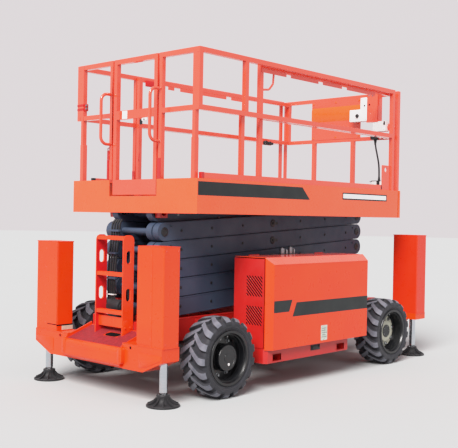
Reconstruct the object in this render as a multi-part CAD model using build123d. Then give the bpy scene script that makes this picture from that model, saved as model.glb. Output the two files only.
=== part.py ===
from build123d import *
import math
import os

# Rough-terrain scissor lift with an extension deck and four outrigger jacks.
# Millimetres. +X is forward, +Y is the machine's left, +Z is up, z = 0 is the ground.
# The layout is drawn from the middle of the main deck; SHIFT_X then puts the origin
# in the middle of the footprint.

# ---------------------------------------------------------------- driving sizes
SHIFT_X = -60.0

DECK_X0, DECK_X1, DECK_HALF = -1400.0, 1372.0, 742.0
FASCIA_Z0, FASCIA_Z1 = 1385.0, 1648.0
FLOOR_Z = 1516.0
RAIL_TOP, RAIL_MID = 2617.0, 2172.0
RAIL_T = 38.0
RAIL_Y = {1: 694.0, -1: 720.0}             # side rails of the platform, left and right
RAIL_X0, RAIL_X1 = -1374.0, 1372.0
GATE_L, GATE_R = 268.0, 317.0            # |y| of the posts each side of the gate
GATE_GAP = 14.0

WHEEL_X = {"rear": -1131.0, "front": 1145.0}
TYRE_R, TYRE_W, TYRE_Y = 305.0, 260.0, 727.0
KING_Y = 660.0

JACK_X = {"rear": -1658.0, "front": 1778.0}
JACK_Y = 690.0
PAD_R = 122.5
ROD_R = 30.0

LEVELS = 5
ARM_L = 2630.0
PITCH = 150.0
ARM_D = 144.0
ARM_Z0 = 640.0
REAR_PIN_X = -1317.0
SIN0 = PITCH / ARM_L
THETA0 = math.degrees(math.asin(SIN0))
FRONT_PIN_X = REAR_PIN_X + ARM_L * math.cos(math.radians(THETA0))
OUT_Y0, OUT_Y1 = 250.0, 310.0
INN_Y0, INN_Y1 = 172.0, 236.0
PIN_R = 25.0
GAP = 0.4

# the lift cylinder's two eyes stand on brackets of two inner arms:
# level, distance along the arm from its centre towards the rear end, offset above the arm's line
CYL_LOW, LOW_S, LOW_D = 2, 700.0, -150.0
CYL_HIGH, HIGH_S, HIGH_D = 3, -450.0, 200.0
EYE_R = 30.0

TRAY_X0, TRAY_X1 = -733.0, 627.0
TRAY_IN, TRAY_OUT = 520.0, 900.0
TRAY_BEVEL, TRAY_CORNER = 55.0, 48.0
TRAY_Z0, TRAY_Z1 = 328.0, 1050.0
SHEET = 4.0

CHASSIS_TOP = 560.0


# ---------------------------------------------------------------- helpers
def box(x0, x1, y0, y1, z0, z1):
    return Pos((x0 + x1) / 2, (y0 + y1) / 2, (z0 + z1) / 2) * Box(
        abs(x1 - x0), abs(y1 - y0), abs(z1 - z0)
    )


def cyl_x(x0, x1, y, z, r):
    return Pos((x0 + x1) / 2, y, z) * Rot(0, 90, 0) * Cylinder(r, abs(x1 - x0))


def cyl_y(x, y0, y1, z, r):
    return Pos(x, (y0 + y1) / 2, z) * Rot(90, 0, 0) * Cylinder(r, abs(y1 - y0))


def cyl_z(x, y, z0, z1, r):
    return Pos(x, y, (z0 + z1) / 2) * Cylinder(r, abs(z1 - z0))


def bar(p, q, r):
    a, b = Vector(*p), Vector(*q)
    d = b - a
    return Plane(origin=(a + b) * 0.5, z_dir=d.normalized()) * Cylinder(r, d.length)


def flip(shape):
    """The same shape on the other side of the centre plane."""
    return shape.mirror(Plane.XZ)


def fuse(items):
    items = list(items)
    out = items[0]
    if len(items) > 1:
        out = out.fuse(*items[1:])
        if isinstance(out, (list, ShapeList)):
            out = Compound(children=list(out))
    return out


def cut(shape, *tools):
    out = shape.cut(*tools)
    if isinstance(out, (list, ShapeList)):
        out = Compound(children=list(out))
    return out


def prism_xz(points, y0, y1):
    """A flat plate drawn in X and Z, from y0 to y1."""
    face = make_face(Polyline(*[(x, 0, z) for x, z in points], close=True))
    return Pos(0, min(y0, y1), 0) * extrude(face, amount=abs(y1 - y0), dir=(0, 1, 0))


def prism_yz(points, x0, x1):
    face = make_face(Polyline(*[(0, y, z) for y, z in points], close=True))
    return Pos(min(x0, x1), 0, 0) * extrude(face, amount=abs(x1 - x0), dir=(1, 0, 0))


def prism_xy(points, z0, z1):
    face = make_face(Polyline(*[(x, y, 0) for x, y in points], close=True))
    return Pos(0, 0, min(z0, z1)) * extrude(face, amount=abs(z1 - z0), dir=(0, 0, 1))


def ring_y(points, x, z):
    """A solid of revolution about an axis along Y; points are (radius, y)."""
    face = make_face(Polyline(*[(r, y, 0) for r, y in points], close=True))
    return Pos(x, 0, z) * revolve(face, Axis.Y, 360)


def ring_z(points, x, y):
    face = make_face(Polyline(*[(r, 0, z) for r, z in points], close=True))
    return Pos(x, y, 0) * revolve(face, Axis.Z, 360)


PARTS = {}


def part(name, *shapes):
    PARTS[name] = list(shapes)


# ---------------------------------------------------------------- chassis
def chassis_frame():
    out = []
    # (x0, x1, half width, z0, z1) of the cross members between the two rails
    cross = [
        (-1490, -1430, 241, 400, 540),
        (-1180, -1060, 241, 400, 540),
        (-520, -440, 241, 400, 520),
        (400, 480, 241, 400, 520),
        (1175, 1295, 241, 400, 540),
        (1520, 1600, 241, 400, 540),
    ]
    for s in (1, -1):
        out.append(box(-1495, 1640, s * 240, s * 330, 380, CHASSIS_TOP))
        # lower tongue under the step plate, up to the rear beam
        out.append(box(-1575, -1490, s * 240, s * 330, 330, 424))
        # fixed rear pivots of the lowest outer arm
        ear = prism_xz(
            [(REAR_PIN_X - 90, 555), (REAR_PIN_X + 90, 555), (REAR_PIN_X + 42, 688), (REAR_PIN_X - 42, 688)],
            s * 182, s * 238,
        )
        out.append(ear)
        # the pivots stand on a shelf on the inner side of the rail
        out.append(box(REAR_PIN_X - 90, REAR_PIN_X + 90, s * 182, s * 246, 536, 557))
        # roller track of the lowest inner arm
        out.append(box(770, 1375, s * 240, s * 304, CHASSIS_TOP - 5, ARM_Z0 - 40.5))
        # outriggers of the two side trays
        for x in (-470, 440):
            out.append(box(x - 40, x + 40, s * 325, s * TRAY_IN, 400, 470))
    out += [box(x0, x1, -h, h, z0, z1) for x0, x1, h, z0, z1 in cross]
    body = fuse(out)
    return cut(body, cyl_y(REAR_PIN_X, -260, 260, ARM_Z0, PIN_R + GAP))


part("chassis_frame", chassis_frame())


# outrigger cross beams: a box beam in the middle, a jack box at each end
# (end, outer x, inner x, jack x)
def outrigger_beam(end):
    rear = end == "rear"
    s = -1 if rear else 1
    jx = JACK_X[end]
    out_x, in_x = (-1745, -1575) if rear else (1898, 1716)
    heel = 325 if rear else 365
    # foot of the slope under the jack box: |y| and z, then |y| where it levels off
    y_low, y_heel = (560, 762) if rear else (470, 600)
    out = []
    if rear:
        # low rolled bar at the front of the step, and the box beam behind it
        mid = box(-1778, -1700, -334, 334, 246, 386)
        edge = [e for e in mid.edges() if abs(e.center().X + 1778) < 1 and abs(e.center().Y) < 1]
        out.append(fillet(edge, 30))
        out.append(box(-1745, in_x, -334, 334, 236, 366))
        for t in (1, -1):
            # cheeks beside the sloping step plate
            out.append(prism_xz([(-1772, 300), (-1772, 366), (-1757, 398), (-1738, 412), (-1500, 500), (-1500, 424), (-1560, 300)], t * 334, t * 342))
        y_in = 334
    else:
        mid = box(1876, 1640, -262, 262, 228, 424)
        edge = [e for e in mid.edges() if abs(e.center().X - 1876) < 1 and abs(e.center().Z - 424) < 1]
        out.append(fillet(edge, 24))
        y_in = 255
    for t in (1, -1):
        foot = [(y_low, 236), (y_heel, heel)] + ([(762, heel)] if y_heel < 762 else [])
        prof = [(y_in, 236)] + foot + [(762, 424), (y_in, 424)]
        out.append(prism_yz([(t * y, z) for y, z in prof], out_x, in_x))
        out.append(cyl_z(jx, t * JACK_Y, heel + 10, 1080, 46))
        if not rear:
            # chamfered gusset where the beam meets the jack box
            out.append(prism_xy([(1868, t * 250), (out_x - 4, t * 300), (in_x, t * 300), (in_x, t * 250)], 238, 422))
    cuts = [cyl_z(jx, t * JACK_Y, 200, 1060, ROD_R + 0.5) for t in (1, -1)]
    if rear:
        # seat of the step plate
        cuts.append(prism_xz([(-1757, 378), (-1497, 469), (-1497, 600), (-1757, 600)], -334, 334))
    return cut(fuse(out), *cuts)


part("rear_outrigger_beam", outrigger_beam("rear"))
part("front_outrigger_beam", outrigger_beam("front"))

# sheet covers over the jack tubes: end, x0, x1, z of the two long sides' feet, top
COVERS = {
    "rear": (-1740.0, -1580.0, 424.0, 1144.0),
    "front": (1722.0, 1897.0, 424.0, 1212.0),
}
COVER_Y0, COVER_Y1 = 485.0, 764.0


def jack_cover(end, t):
    x0, x1, z0, z1 = COVERS[end]
    outer = box(x0, x1, t * COVER_Y0, t * COVER_Y1, z0, z1)
    vert = [e for e in outer.edges() if e.length > (z1 - z0) - 1 and abs(e.center().Z - (z0 + z1) / 2) < 1]
    outer = fillet(vert, 10)
    inner = box(x0 + SHEET, x1 - SHEET, t * (COVER_Y0 + SHEET), t * (COVER_Y1 - SHEET), z0 - 5, z1 - SHEET)
    return cut(outer, inner)


for end in ("rear", "front"):
    for t, side in ((1, "left"), (-1, "right")):
        part(f"jack_cover_{end}_{side}", jack_cover(end, t))


# ---------------------------------------------------------------- ladder on the rear beam
LADDER_Y, LADDER_X0, LADDER_X1 = 162.0, -1606.0, -1500.0
LADDER_TOP = 1210.0
STEP_Z = 424.0
STEP = [(-1757.0, 378.0), (-1757.0, 386.0), (-1497.0, 477.0), (-1497.0, 469.0)]   # x, z of the sloping step plate
RUNGS = [612.0, 906.0, 1186.0]


def ladder():
    out = []
    for t in (1, -1):
        plate = box(LADDER_X0, LADDER_X1, t * (LADDER_Y - 5), t * (LADDER_Y + 5), STEP_Z + 8, LADDER_TOP)
        top = [e for e in plate.edges() if abs(e.center().Z - LADDER_TOP) < 1 and e.length < 15]
        plate = fillet(top, 40)
        for z in (1040, 751):
            slot = Pos((LADDER_X0 + LADDER_X1) / 2, t * LADDER_Y, z) * Rot(90, 0, 0) * extrude(
                SlotOverall(100, 46, rotation=90), amount=20, both=True)
            plate = cut(plate, slot)
        out.append(plate)
    for z in RUNGS:
        out.append(box(LADDER_X0 + 4, LADDER_X0 + 40, -LADDER_Y, LADDER_Y, z - 14, z + 14))
    # riser below the lowest rung and the step plate with its drain slot
    out.append(box(LADDER_X0 + 30, LADDER_X0 + 36, -LADDER_Y, LADDER_Y, 496, 575))
    step = prism_xz(STEP, -333.5, 333.5)
    slot = Pos(-1600, -50, STEP_Z) * extrude(SlotOverall(150, 50, rotation=90), amount=60, both=True)
    out.append(cut(step, slot))
    return fuse(out)


part("ladder", ladder())


# ---------------------------------------------------------------- side trays and their covers
FORK = [(-645.0, -540.0), (221.0, 330.0)]
FORK_TOP = 283.0
BASE_X1 = 385.0
BASE_Z0 = 215.0
HINGES = [(-560.0, -440.0), (334.0, 454.0)]     # x of the cover hinges' barrels
HINGE_R = 7.0


def tray(t):
    wall = SHEET
    out = []
    # end walls: the rear one closes the whole end, the front one stands inside the cover's return
    for x0, x1, y_end in ((TRAY_X0, TRAY_X0 + wall, TRAY_OUT - TRAY_CORNER - 14), (TRAY_X1 - wall, TRAY_X1, 790)):
        out.append(box(x0, x1, t * TRAY_IN, t * y_end, TRAY_Z0, TRAY_Z1 - 12))
    # pan: x0, x1, inner y, outer y
    for x0, x1, ya, yb in ((TRAY_X0, TRAY_X1, TRAY_IN, 790), (TRAY_X0, TRAY_X1 - 12, 780, 838), (TRAY_X0 + 60, TRAY_X1 - 12, 830, 880)):
        out.append(box(x0, x1, t * ya, t * yb, TRAY_Z0, TRAY_Z0 + 6))
    out.append(box(TRAY_X0, TRAY_X1, t * TRAY_IN, t * (TRAY_IN + wall), TRAY_Z0, TRAY_Z1 - 12))
    # base with the fork pockets, set back under the cover
    base = box(TRAY_X0, BASE_X1, t * 530, t * 862, BASE_Z0, TRAY_Z0 + 3)
    out.append(cut(base, corner_wedge(t, TRAY_X0, 862, 26)))
    pockets = [box(x0, x1, t * 500, t * 900, BASE_Z0 + 14, FORK_TOP) for x0, x1 in FORK]
    # hinge barrels on the top inner edge, each on an upright tab of the inner wall
    for x0, x1 in HINGES:
        out.append(box(x0, x1, t * TRAY_IN, t * (TRAY_IN + wall), TRAY_Z1 - 20, TRAY_Z1))
        out.append(cyl_x(x0, x1, t * (TRAY_IN + wall), TRAY_Z1, HINGE_R))
    return cut(fuse(out), *pockets)


def corner_wedge(t, x0, y1, c):
    """What a 45 degree chamfer of leg c takes off the rear outer corner."""
    return prism_xy([(x0 - 20, t * (y1 - c - 20)), (x0 + c + 20, t * (y1 + 20)), (x0 - 20, t * (y1 + 20))], -50, 1500)


def cover_block(t, d):
    """The cover's outer form, or its inner form when d is the sheet's thickness."""
    less = d * (2 - math.sqrt(2))
    b, c = TRAY_BEVEL - less, TRAY_CORNER - less
    y0 = TRAY_IN + 8 - (20 if d else 0)
    y1, z1 = TRAY_OUT - d, TRAY_Z1 - d
    z0 = TRAY_Z0 - 6 - (20 if d else 0)
    prof = [(y0, z0), (y1, z0), (y1, z1 - b), (y1 - b, z1), (y0, z1)]
    body = prism_yz([(t * y, z) for y, z in prof], TRAY_X0 + (d if d else 0), TRAY_X1 - d)
    return cut(body, corner_wedge(t, TRAY_X0 + d, y1, c))


def tray_cover(t):
    """Clamshell: outer face, bevelled shoulder, top and front return, hinged on the top inner edge."""
    shell = cut(cover_block(t, 0), cover_block(t, SHEET))
    # the rear end stays open inboard of the chamfer; the front return is a narrow flange
    rear = box(TRAY_X0 - 5, TRAY_X0 + SHEET + 1, t * (TRAY_IN - 5), t * (TRAY_OUT - TRAY_CORNER - SHEET * 1.6), TRAY_Z0 - 60, TRAY_Z1 - SHEET)
    front = box(TRAY_X1 - SHEET - 1, TRAY_X1 + 5, t * (TRAY_IN - 5), t * (TRAY_OUT - 104), TRAY_Z0 - 60, TRAY_Z1 - SHEET)
    notches = [box(x0 - 4, x1 + 4, t * (TRAY_IN - 5), t * (TRAY_IN + SHEET + HINGE_R + 5.5), TRAY_Z1 - 20, TRAY_Z1 + 10) for x0, x1 in HINGES]
    return cut(shell, rear, front, *notches)


for t, side in ((1, "left"), (-1, "right")):
    part(f"side_tray_{side}", tray(t))
    part(f"tray_cover_{side}", tray_cover(t))

# engine on the right tray, tanks on the left
part("engine_block", box(-420, 260, -560, -850, TRAY_Z0 + 6, 860))
part("hydraulic_tank", box(-600, -60, 560, 850, TRAY_Z0 + 6, 820))
part("fuel_tank", box(60, 560, 560, 850, TRAY_Z0 + 6, 700))


# ---------------------------------------------------------------- axles, knuckles, wheels
def rear_axle():
    x, z = WHEEL_X["rear"], TYRE_R
    out = [box(x - 50, x + 50, -520, 520, z - 55, z + 55)]
    for t in (1, -1):
        out.append(box(x - 70, x + 70, t * 235, t * 320, z + 50, 380))
        out.append(cyl_y(x, t * 515, t * 728, z, 95))
        out.append(cyl_y(x, t * 720, t * 762, z, 30))
    return fuse(out)


def front_axle():
    x, z = WHEEL_X["front"], TYRE_R
    out = [box(x - 45, x + 45, -505, 505, z - 55, z + 55)]
    for t in (1, -1):
        out.append(box(x - 70, x + 70, t * 235, t * 320, z + 50, 380))
        out.append(box(x - 34, x + 34, t * 500, t * 546, z - 120, z + 120))
        for w in (1, -1):
            ear = box(x - 34, x + 34, t * 540, t * KING_Y, z + w * 94, z + w * 120)
            out += [ear, cyl_z(x, t * KING_Y, z + w * 94, z + w * 120, 34)]
    body = fuse(out)
    return cut(body, *[cyl_z(x, t * KING_Y, z - 130, z + 130, 18.4) for t in (1, -1)])


def knuckle(t):
    x, z = WHEEL_X["front"], TYRE_R
    out = [cyl_y(x, t * (KING_Y - 70), t * 728, z, 84), cyl_y(x, t * 720, t * 762, z, 30),
           cyl_z(x, t * KING_Y, z - 118, z + 118, 18)]
    # steering arm, from the hub back to the tie rod's hole
    arm = prism_xy([(x - 60, t * 630), (x - 60, t * 594), (x - 90, t * 594), (x - 112, t * 583), (x - 150, t * 561),
                    (x - 168, t * 566), (x - 168, t * 588), (x - 110, t * 612)], z - 12, z + 12)
    out.append(cut(arm, cyl_z(x - 152, t * 576, z - 20, z + 20, 8)))
    return fuse(out)


def wheel_rim(x, t, cap_r, cap_y):
    """Rim, disc and hub as one turned piece; cap_r and cap_y are the hub cap's radius and outer face."""
    z = TYRE_R
    y_out, y_in = TYRE_Y + 126, TYRE_Y - 126
    prof = [(205, y_out), (188, y_out), (180, y_out - 22), (180, 750), (cap_r, 750), (cap_r - 6, cap_y), (0.01, cap_y), (0.01, 766), (42, 766), (42, 750),
            (30.4, 750), (30.4, 736), (172, 736), (172, y_in + 20), (188, y_in), (205, y_in), (205, y_in + 10), (199.5, y_in + 14), (199.5, y_out - 14), (205, y_out - 10)]
    return ring_y([(r, t * y) for r, y in prof], x, z)


def tyre(x, t):
    # (radius, distance from the tyre's middle plane)
    half = [(200, 110), (208, 114), (226, 126), (250, 130), (278, 126), (296, 112), (305, 92)]
    prof = half + [(r, -w) for r, w in reversed(half)]
    return ring_y([(r, t * (TYRE_Y + w)) for r, w in prof], x, TYRE_R)


part("rear_axle", rear_axle())
part("front_axle", front_axle())
part("steering_cylinder", fuse([cyl_y(WHEEL_X["front"] - 120, -190, 190, 320, 34), cyl_y(WHEEL_X["front"] - 120, -400, 400, 320, 16),
                                box(WHEEL_X["front"] - 130, WHEEL_X["front"] - 45, -60, 60, 290, 350)]))
for end in ("rear", "front"):
    for t, side in ((1, "left"), (-1, "right")):
        part(f"tyre_{end}_{side}", tyre(WHEEL_X[end], t))
        part(f"rim_{end}_{side}", wheel_rim(WHEEL_X[end], t, *((103, 827) if end == "rear" else (98, 778))))
for t, side in ((1, "left"), (-1, "right")):
    part(f"knuckle_{side}", knuckle(t))


# ---------------------------------------------------------------- outrigger legs
def leg(end, t):
    x, y = JACK_X[end], t * JACK_Y
    foot = ring_z([(0.01, 0), (PAD_R - 6, 0), (PAD_R, 5), (PAD_R, 12), (48, 62), (46, 90), (0.01, 90)], x, y)
    return fuse([foot, cyl_z(x, y, 88, 850, ROD_R)])


for end in ("rear", "front"):
    for t, side in ((1, "left"), (-1, "right")):
        part(f"outrigger_leg_{end}_{side}", leg(end, t))


# ---------------------------------------------------------------- scissor stack
def pin_z(level):
    return ARM_Z0 + PITCH * level


def beam(xa, za, xb, zb, y0, y1):
    """A flat bar with round ends, from one pin to the other."""
    dx, dz = xb - xa, zb - za
    length = math.hypot(dx, dz)
    flat = SlotCenterToCenter(length, ARM_D)
    ang = math.degrees(math.atan2(dz, dx))
    plate = extrude(Rot(90, 0, 0) * flat, amount=abs(y1 - y0), dir=(0, 1, 0))
    return Pos((xa + xb) / 2, min(y0, y1), (za + zb) / 2) * Rot(0, -ang, 0) * plate


def arm_point(kind, level, s, d=0.0):
    """A point of an arm: s along it from its centre towards the raised end, d above its line; level counts from 1."""
    c, sn = math.cos(math.radians(THETA0)), SIN0
    cx = REAR_PIN_X + ARM_L / 2 * c
    cz = ARM_Z0 + (level - 0.5) * PITCH
    side = 1 if kind == "outer" else -1
    return cx + side * (s * c - d * sn), cz + s * sn + d * c


MID_X = REAR_PIN_X + ARM_L / 2 * math.cos(math.radians(THETA0))


def outer_arm(level):
    z_low, z_high = pin_z(level - 1), pin_z(level)
    z_mid = (z_low + z_high) / 2
    out = [beam(REAR_PIN_X, z_low, FRONT_PIN_X, z_high, t * OUT_Y0, t * OUT_Y1) for t in (1, -1)]
    # rear shaft: turns in the chassis ears or in the inner arm below
    out.append(cyl_y(REAR_PIN_X, -OUT_Y1, OUT_Y1, z_low, PIN_R))
    # stub pins at the centre, turning in the inner arm
    out += [cyl_y(MID_X, t * INN_Y0, t * OUT_Y1, z_mid, PIN_R) for t in (1, -1)]
    body = fuse(out)
    return cut(body, cyl_y(FRONT_PIN_X, -400, 400, z_high, PIN_R + (0 if level == LEVELS else 1.0)))


def inner_arm(level):
    z_low, z_high = pin_z(level - 1), pin_z(level)
    z_mid = (z_low + z_high) / 2
    out = [beam(FRONT_PIN_X, z_low, REAR_PIN_X, z_high, t * INN_Y0, t * INN_Y1) for t in (1, -1)]
    if level > 1:
        out.append(cyl_y(FRONT_PIN_X, -OUT_Y1, OUT_Y1, z_low, PIN_R))
    # spacer tube just inside the rear end
    sx, sz = arm_point("inner", level, ARM_L / 2 - 130)
    out.append(cyl_y(sx, -INN_Y0 - 5, INN_Y0 + 5, sz, 30))
    # bracket plates and cross tube of a lift cylinder eye
    for at, s, d in ((CYL_LOW, LOW_S, LOW_D), (CYL_HIGH, HIGH_S, HIGH_D)):
        if level == at:
            ex, ez = arm_point("inner", level, s, d)
            side = 1 if d > 0 else -1
            foot = [arm_point("inner", level, s + k, side * 40) for k in (150, -150)]
            tip = [arm_point("inner", level, s + k, d + side * 20) for k in (-44, 44)]
            for t in (1, -1):
                out.append(prism_xz(foot + tip, t * 146, t * 166))
                # pad that carries the bracket plate on its own arm
                out.append(prism_xz([arm_point("inner", level, s + k, e) for k, e in ((150, -60), (150, 60), (-150, 60), (-150, -60))], t * 160, t * (INN_Y0 + 3)))
                out.append(cyl_y(ex, t * 146, t * 166, ez, 50))
            out.append(cyl_y(ex, -155, 155, ez, EYE_R))
    body = fuse(out)
    bores = [cyl_y(REAR_PIN_X, -400, 400, z_high, PIN_R + GAP), cyl_y(MID_X, -400, 400, z_mid, PIN_R + GAP)]
    if level == 1:
        bores.append(cyl_y(FRONT_PIN_X, -400, 400, z_low, PIN_R))
    return cut(body, *bores)


def roller_shaft(z, y0, y1):
    """Cross shaft with the two rollers of an end of the stack."""
    return fuse([cyl_y(FRONT_PIN_X, -OUT_Y1, OUT_Y1, z, PIN_R)] + [cyl_y(FRONT_PIN_X, t * y0, t * y1, z, 40) for t in (1, -1)])


for level in range(1, LEVELS + 1):
    part(f"scissor_outer_{level}", outer_arm(level))
    part(f"scissor_inner_{level}", inner_arm(level))
part("lower_roller_shaft", roller_shaft(pin_z(0), 242, 302))
part("upper_roller_shaft", roller_shaft(pin_z(LEVELS), 178, 240))

# lift cylinder between inner arms
LOW_EYE = arm_point("inner", CYL_LOW, LOW_S, LOW_D)
HIGH_EYE = arm_point("inner", CYL_HIGH, HIGH_S, HIGH_D)
CYL_LEN = math.hypot(HIGH_EYE[0] - LOW_EYE[0], HIGH_EYE[1] - LOW_EYE[1])
CYL_DIR = ((HIGH_EYE[0] - LOW_EYE[0]) / CYL_LEN, (HIGH_EYE[1] - LOW_EYE[1]) / CYL_LEN)
CYL_ANG = math.degrees(math.atan2(CYL_DIR[1], CYL_DIR[0]))


def along(d):
    return (LOW_EYE[0] + CYL_DIR[0] * d, 0, LOW_EYE[1] + CYL_DIR[1] * d)


def lift_barrel():
    out = [cyl_y(LOW_EYE[0], -55, 55, LOW_EYE[1], 50), bar(along(30), along(110), 44), bar(along(95), along(CYL_LEN - 190), 62)]
    body = fuse(out)
    return cut(body, cyl_y(LOW_EYE[0], -80, 80, LOW_EYE[1], EYE_R + 0.4), bar(along(170), along(CYL_LEN - 150), 38.4))


def lift_rod():
    """Rod with an open saddle that carries the upper cross tube from behind and below."""
    saddle = cyl_y(HIGH_EYE[0], -50, 50, HIGH_EYE[1], 54)
    arc = [(0, 0)] + [(90 * math.cos(math.radians(a)), 90 * math.sin(math.radians(a))) for a in range(170, 301, 13)]
    ca, sa = math.cos(math.radians(CYL_ANG)), math.sin(math.radians(CYL_ANG))
    fan = [(HIGH_EYE[0] + u * ca - w * sa, HIGH_EYE[1] + u * sa + w * ca) for u, w in arc]
    saddle = saddle & prism_xz(fan, -60, 60)
    out = [bar(along(400), along(CYL_LEN - 36), 38), saddle]
    body = fuse(out)
    return cut(body, cyl_y(HIGH_EYE[0], -80, 80, HIGH_EYE[1], EYE_R + 0.6),
               # nothing of the rod stays above the mouth of the saddle
               prism_xz([(HIGH_EYE[0] + u * ca - w * sa, HIGH_EYE[1] + u * sa + w * ca) for u, w in
                         [(-70, 16), (60, 16), (60, 60), (-70, 60)]], -80, 80))


part("lift_cylinder_barrel", lift_barrel())
part("lift_cylinder_rod", lift_rod())


# ---------------------------------------------------------------- platform
def platform_deck():
    out = [box(DECK_X0 + 5, DECK_X1 - 5, -DECK_HALF + 5, DECK_HALF - 5, FLOOR_Z - 6, FLOOR_Z)]
    # floor joists and edge beams
    for x in (-1180, -700, -220, 260, 740):
        out.append(box(x - 25, x + 25, -DECK_HALF + 5, DECK_HALF - 5, FLOOR_Z - 38, FLOOR_Z - 5))
    for t in (1, -1):
        # ears that hang the deck on the top inner arm, and the roller track at the front
        out.append(prism_xz([(REAR_PIN_X - 60, FLOOR_Z - 5), (REAR_PIN_X + 60, FLOOR_Z - 5), (REAR_PIN_X + 38, 1348), (REAR_PIN_X - 38, 1348)], t * 246, t * 300))
        out.append(box(770, DECK_X1 - 7, t * 176, t * 242, 1430.5, FLOOR_Z - 5))
    body = fuse(out)
    return cut(body, cyl_y(REAR_PIN_X, -400, 400, pin_z(LEVELS), PIN_R + GAP))


def platform_fascia():
    """Pressed side and rear skirts with toe boards, 5 mm, with a lower return."""
    t5 = 5
    out = []
    for t in (1, -1):
        out.append(box(DECK_X0, DECK_X1, t * (DECK_HALF - t5), t * DECK_HALF, FASCIA_Z0, FASCIA_Z1))
        out.append(box(DECK_X0, DECK_X1, t * (DECK_HALF - 40), t * DECK_HALF, FASCIA_Z0, FASCIA_Z0 + t5))
        out.append(box(DECK_X0, DECK_X1, t * (RAIL_Y[t] - 19), t * DECK_HALF, FASCIA_Z1 - t5, FASCIA_Z1))
    out.append(box(DECK_X0, DECK_X0 + t5, -DECK_HALF, DECK_HALF, FASCIA_Z0, FLOOR_Z))
    for y in (GATE_L, H - GATE_R):
        out.append(box(DECK_X0, DECK_X0 + t5, y, math.copysign(DECK_HALF, y), FASCIA_Z0, FASCIA_Z1))
    # the front edge stops above the ends of the top arms
    out.append(box(DECK_X1 - t5, DECK_X1, -DECK_HALF, DECK_HALF, 1478, FLOOR_Z))
    return fuse(out)


H = RAIL_T / 2
part("platform_deck", platform_deck())
part("platform_fascia", platform_fascia())


def post(x, y, z0=FASCIA_Z1, z1=RAIL_TOP - RAIL_T, w=RAIL_T, d=RAIL_T):
    return box(x - w / 2, x + w / 2, y - d / 2, y + d / 2, z0, z1)


# main side rails: side, x of the middle post, x of the front post, rear and front ends and height of the sill tube
SIDE_RAILS = {1: (-754.0, 1320.0, -1240.0, 1180.0, 30.0), -1: (-862.0, 1276.0, -1322.0, 1090.0, 44.0)}
CORNER = {1: (634.0, 662.0, 675.0), -1: (671.0, 701.0, 701.0)}     # rear corner tube: inner, outer, outer above the middle rail


def foot(x, y):
    """Flared plate at the foot of a post."""
    return prism_xz([(x - H - 9, FASCIA_Z1), (x + H + 9, FASCIA_Z1), (x + H, FASCIA_Z1 + 130), (x - H, FASCIA_Z1 + 130)], y - 6, y + 6)


def side_rail(t):
    y = t * RAIL_Y[t]
    mid, front, s0, s1, sh = SIDE_RAILS[t]
    c0, c1, c2 = CORNER[t]
    x = RAIL_X0
    out = [box(x - H, front + H, y - H, y + H, RAIL_TOP - RAIL_T, RAIL_TOP),
           box(x - H, front + H, y - H, y + H, RAIL_MID - H, RAIL_MID + H),
           box(s0, s1, y - 14, y + 14, FASCIA_Z1, FASCIA_Z1 + sh),
           # rear corner: inner tube welded to the rear skirt just clear of the floor, in a deeper socket,
           # and an outer tube above the middle rail
           box(x - H, x + H, t * c0, t * c1, FLOOR_Z + 3, RAIL_TOP),
           box(x - H, x + H, t * c0, t * c2, RAIL_MID - H, RAIL_TOP),
           box(x - H - 1, x + H + 3, t * (c0 - 6), t * min(c1 + 4, RAIL_Y[t] - 19), FLOOR_Z + 3, 1950),
           box(x - H, x + H, y - H, y + H, RAIL_MID - H, RAIL_TOP)]
    if t == 1:
        out += [post(mid, y), foot(mid, y), box(front - H, front + H, 693, 712, FASCIA_Z1, RAIL_TOP - RAIL_T)]
    else:
        # the middle post steps in below the middle rail, against the top flange of the skirt
        out += [post(mid, y, z0=RAIL_MID - H), box(mid - H, mid + H, t * c0, t * (RAIL_Y[t] - H), FLOOR_Z + 3, RAIL_MID + H),
                foot(mid, t * 686), post(front, y), foot(front, y)]
        # gusset with a hole behind the front post
        plate = box(front - 163, front, y - 4, y + 4, FASCIA_Z1, FASCIA_Z1 + 235)
        out.append(cut(plate, cyl_y(front - 102, y - 20, y + 20, FASCIA_Z1 + 193, 22)))
    return fuse(out)


def hoop(y):
    """Grab handle bent from round tube, standing behind a gate post."""
    x, g = RAIL_X0, RAIL_X0 - 123
    path = FilletPolyline((x, y, 2342), (g, y, 2342), (g, y, 1937), (x, y, 1937), radius=60)
    return sweep(Plane(origin=(x, y, 2342), z_dir=(-1, 0, 0)) * Circle(12), path=path)


def rear_rails():
    """Rail stubs each side of the gate, with the two hooped grab handles."""
    out = []
    x = RAIL_X0
    for t, g in ((1, GATE_L), (-1, GATE_R)):
        y0, y1 = t * g, t * CORNER[t][0]
        out.append(box(x - H, x + H, t * (g - H), y1, RAIL_TOP - RAIL_T, RAIL_TOP))
        out.append(box(x - H, x + H, y0, y1, RAIL_MID - H, RAIL_MID + H))
        out.append(post(x, y0, z1=RAIL_TOP - RAIL_T / 2))
        out.append(hoop(y0))
    return fuse(out)


def entry_gate():
    x = RAIL_X0
    w0, w1 = GATE_L - H - GATE_GAP, H + GATE_GAP - GATE_R
    out = [box(x - H, x + H, w0, w1, RAIL_TOP - RAIL_T, RAIL_TOP),
           box(x - H, x + H, w0, w1, RAIL_MID - 40, RAIL_MID + 30),
           box(x - H, x + 4 - H, w0, w1, FLOOR_Z + 12, FASCIA_Z1)]
    out.append(box(x - H, x + H, w0 - RAIL_T, w0, FLOOR_Z + 12, RAIL_TOP))
    out.append(box(x - H, x + H, w1, w1 + RAIL_T, FLOOR_Z + 12, RAIL_TOP))
    # bore of the hinge pin, up the foot of the hinge post
    return cut(fuse(out), cyl_z(x, w0 - H, FLOOR_Z, FLOOR_Z + 60, 11))


part("side_rail_left", side_rail(1))
part("side_rail_right", side_rail(-1))
part("rear_rails", rear_rails())
part("entry_gate", entry_gate())

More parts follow.
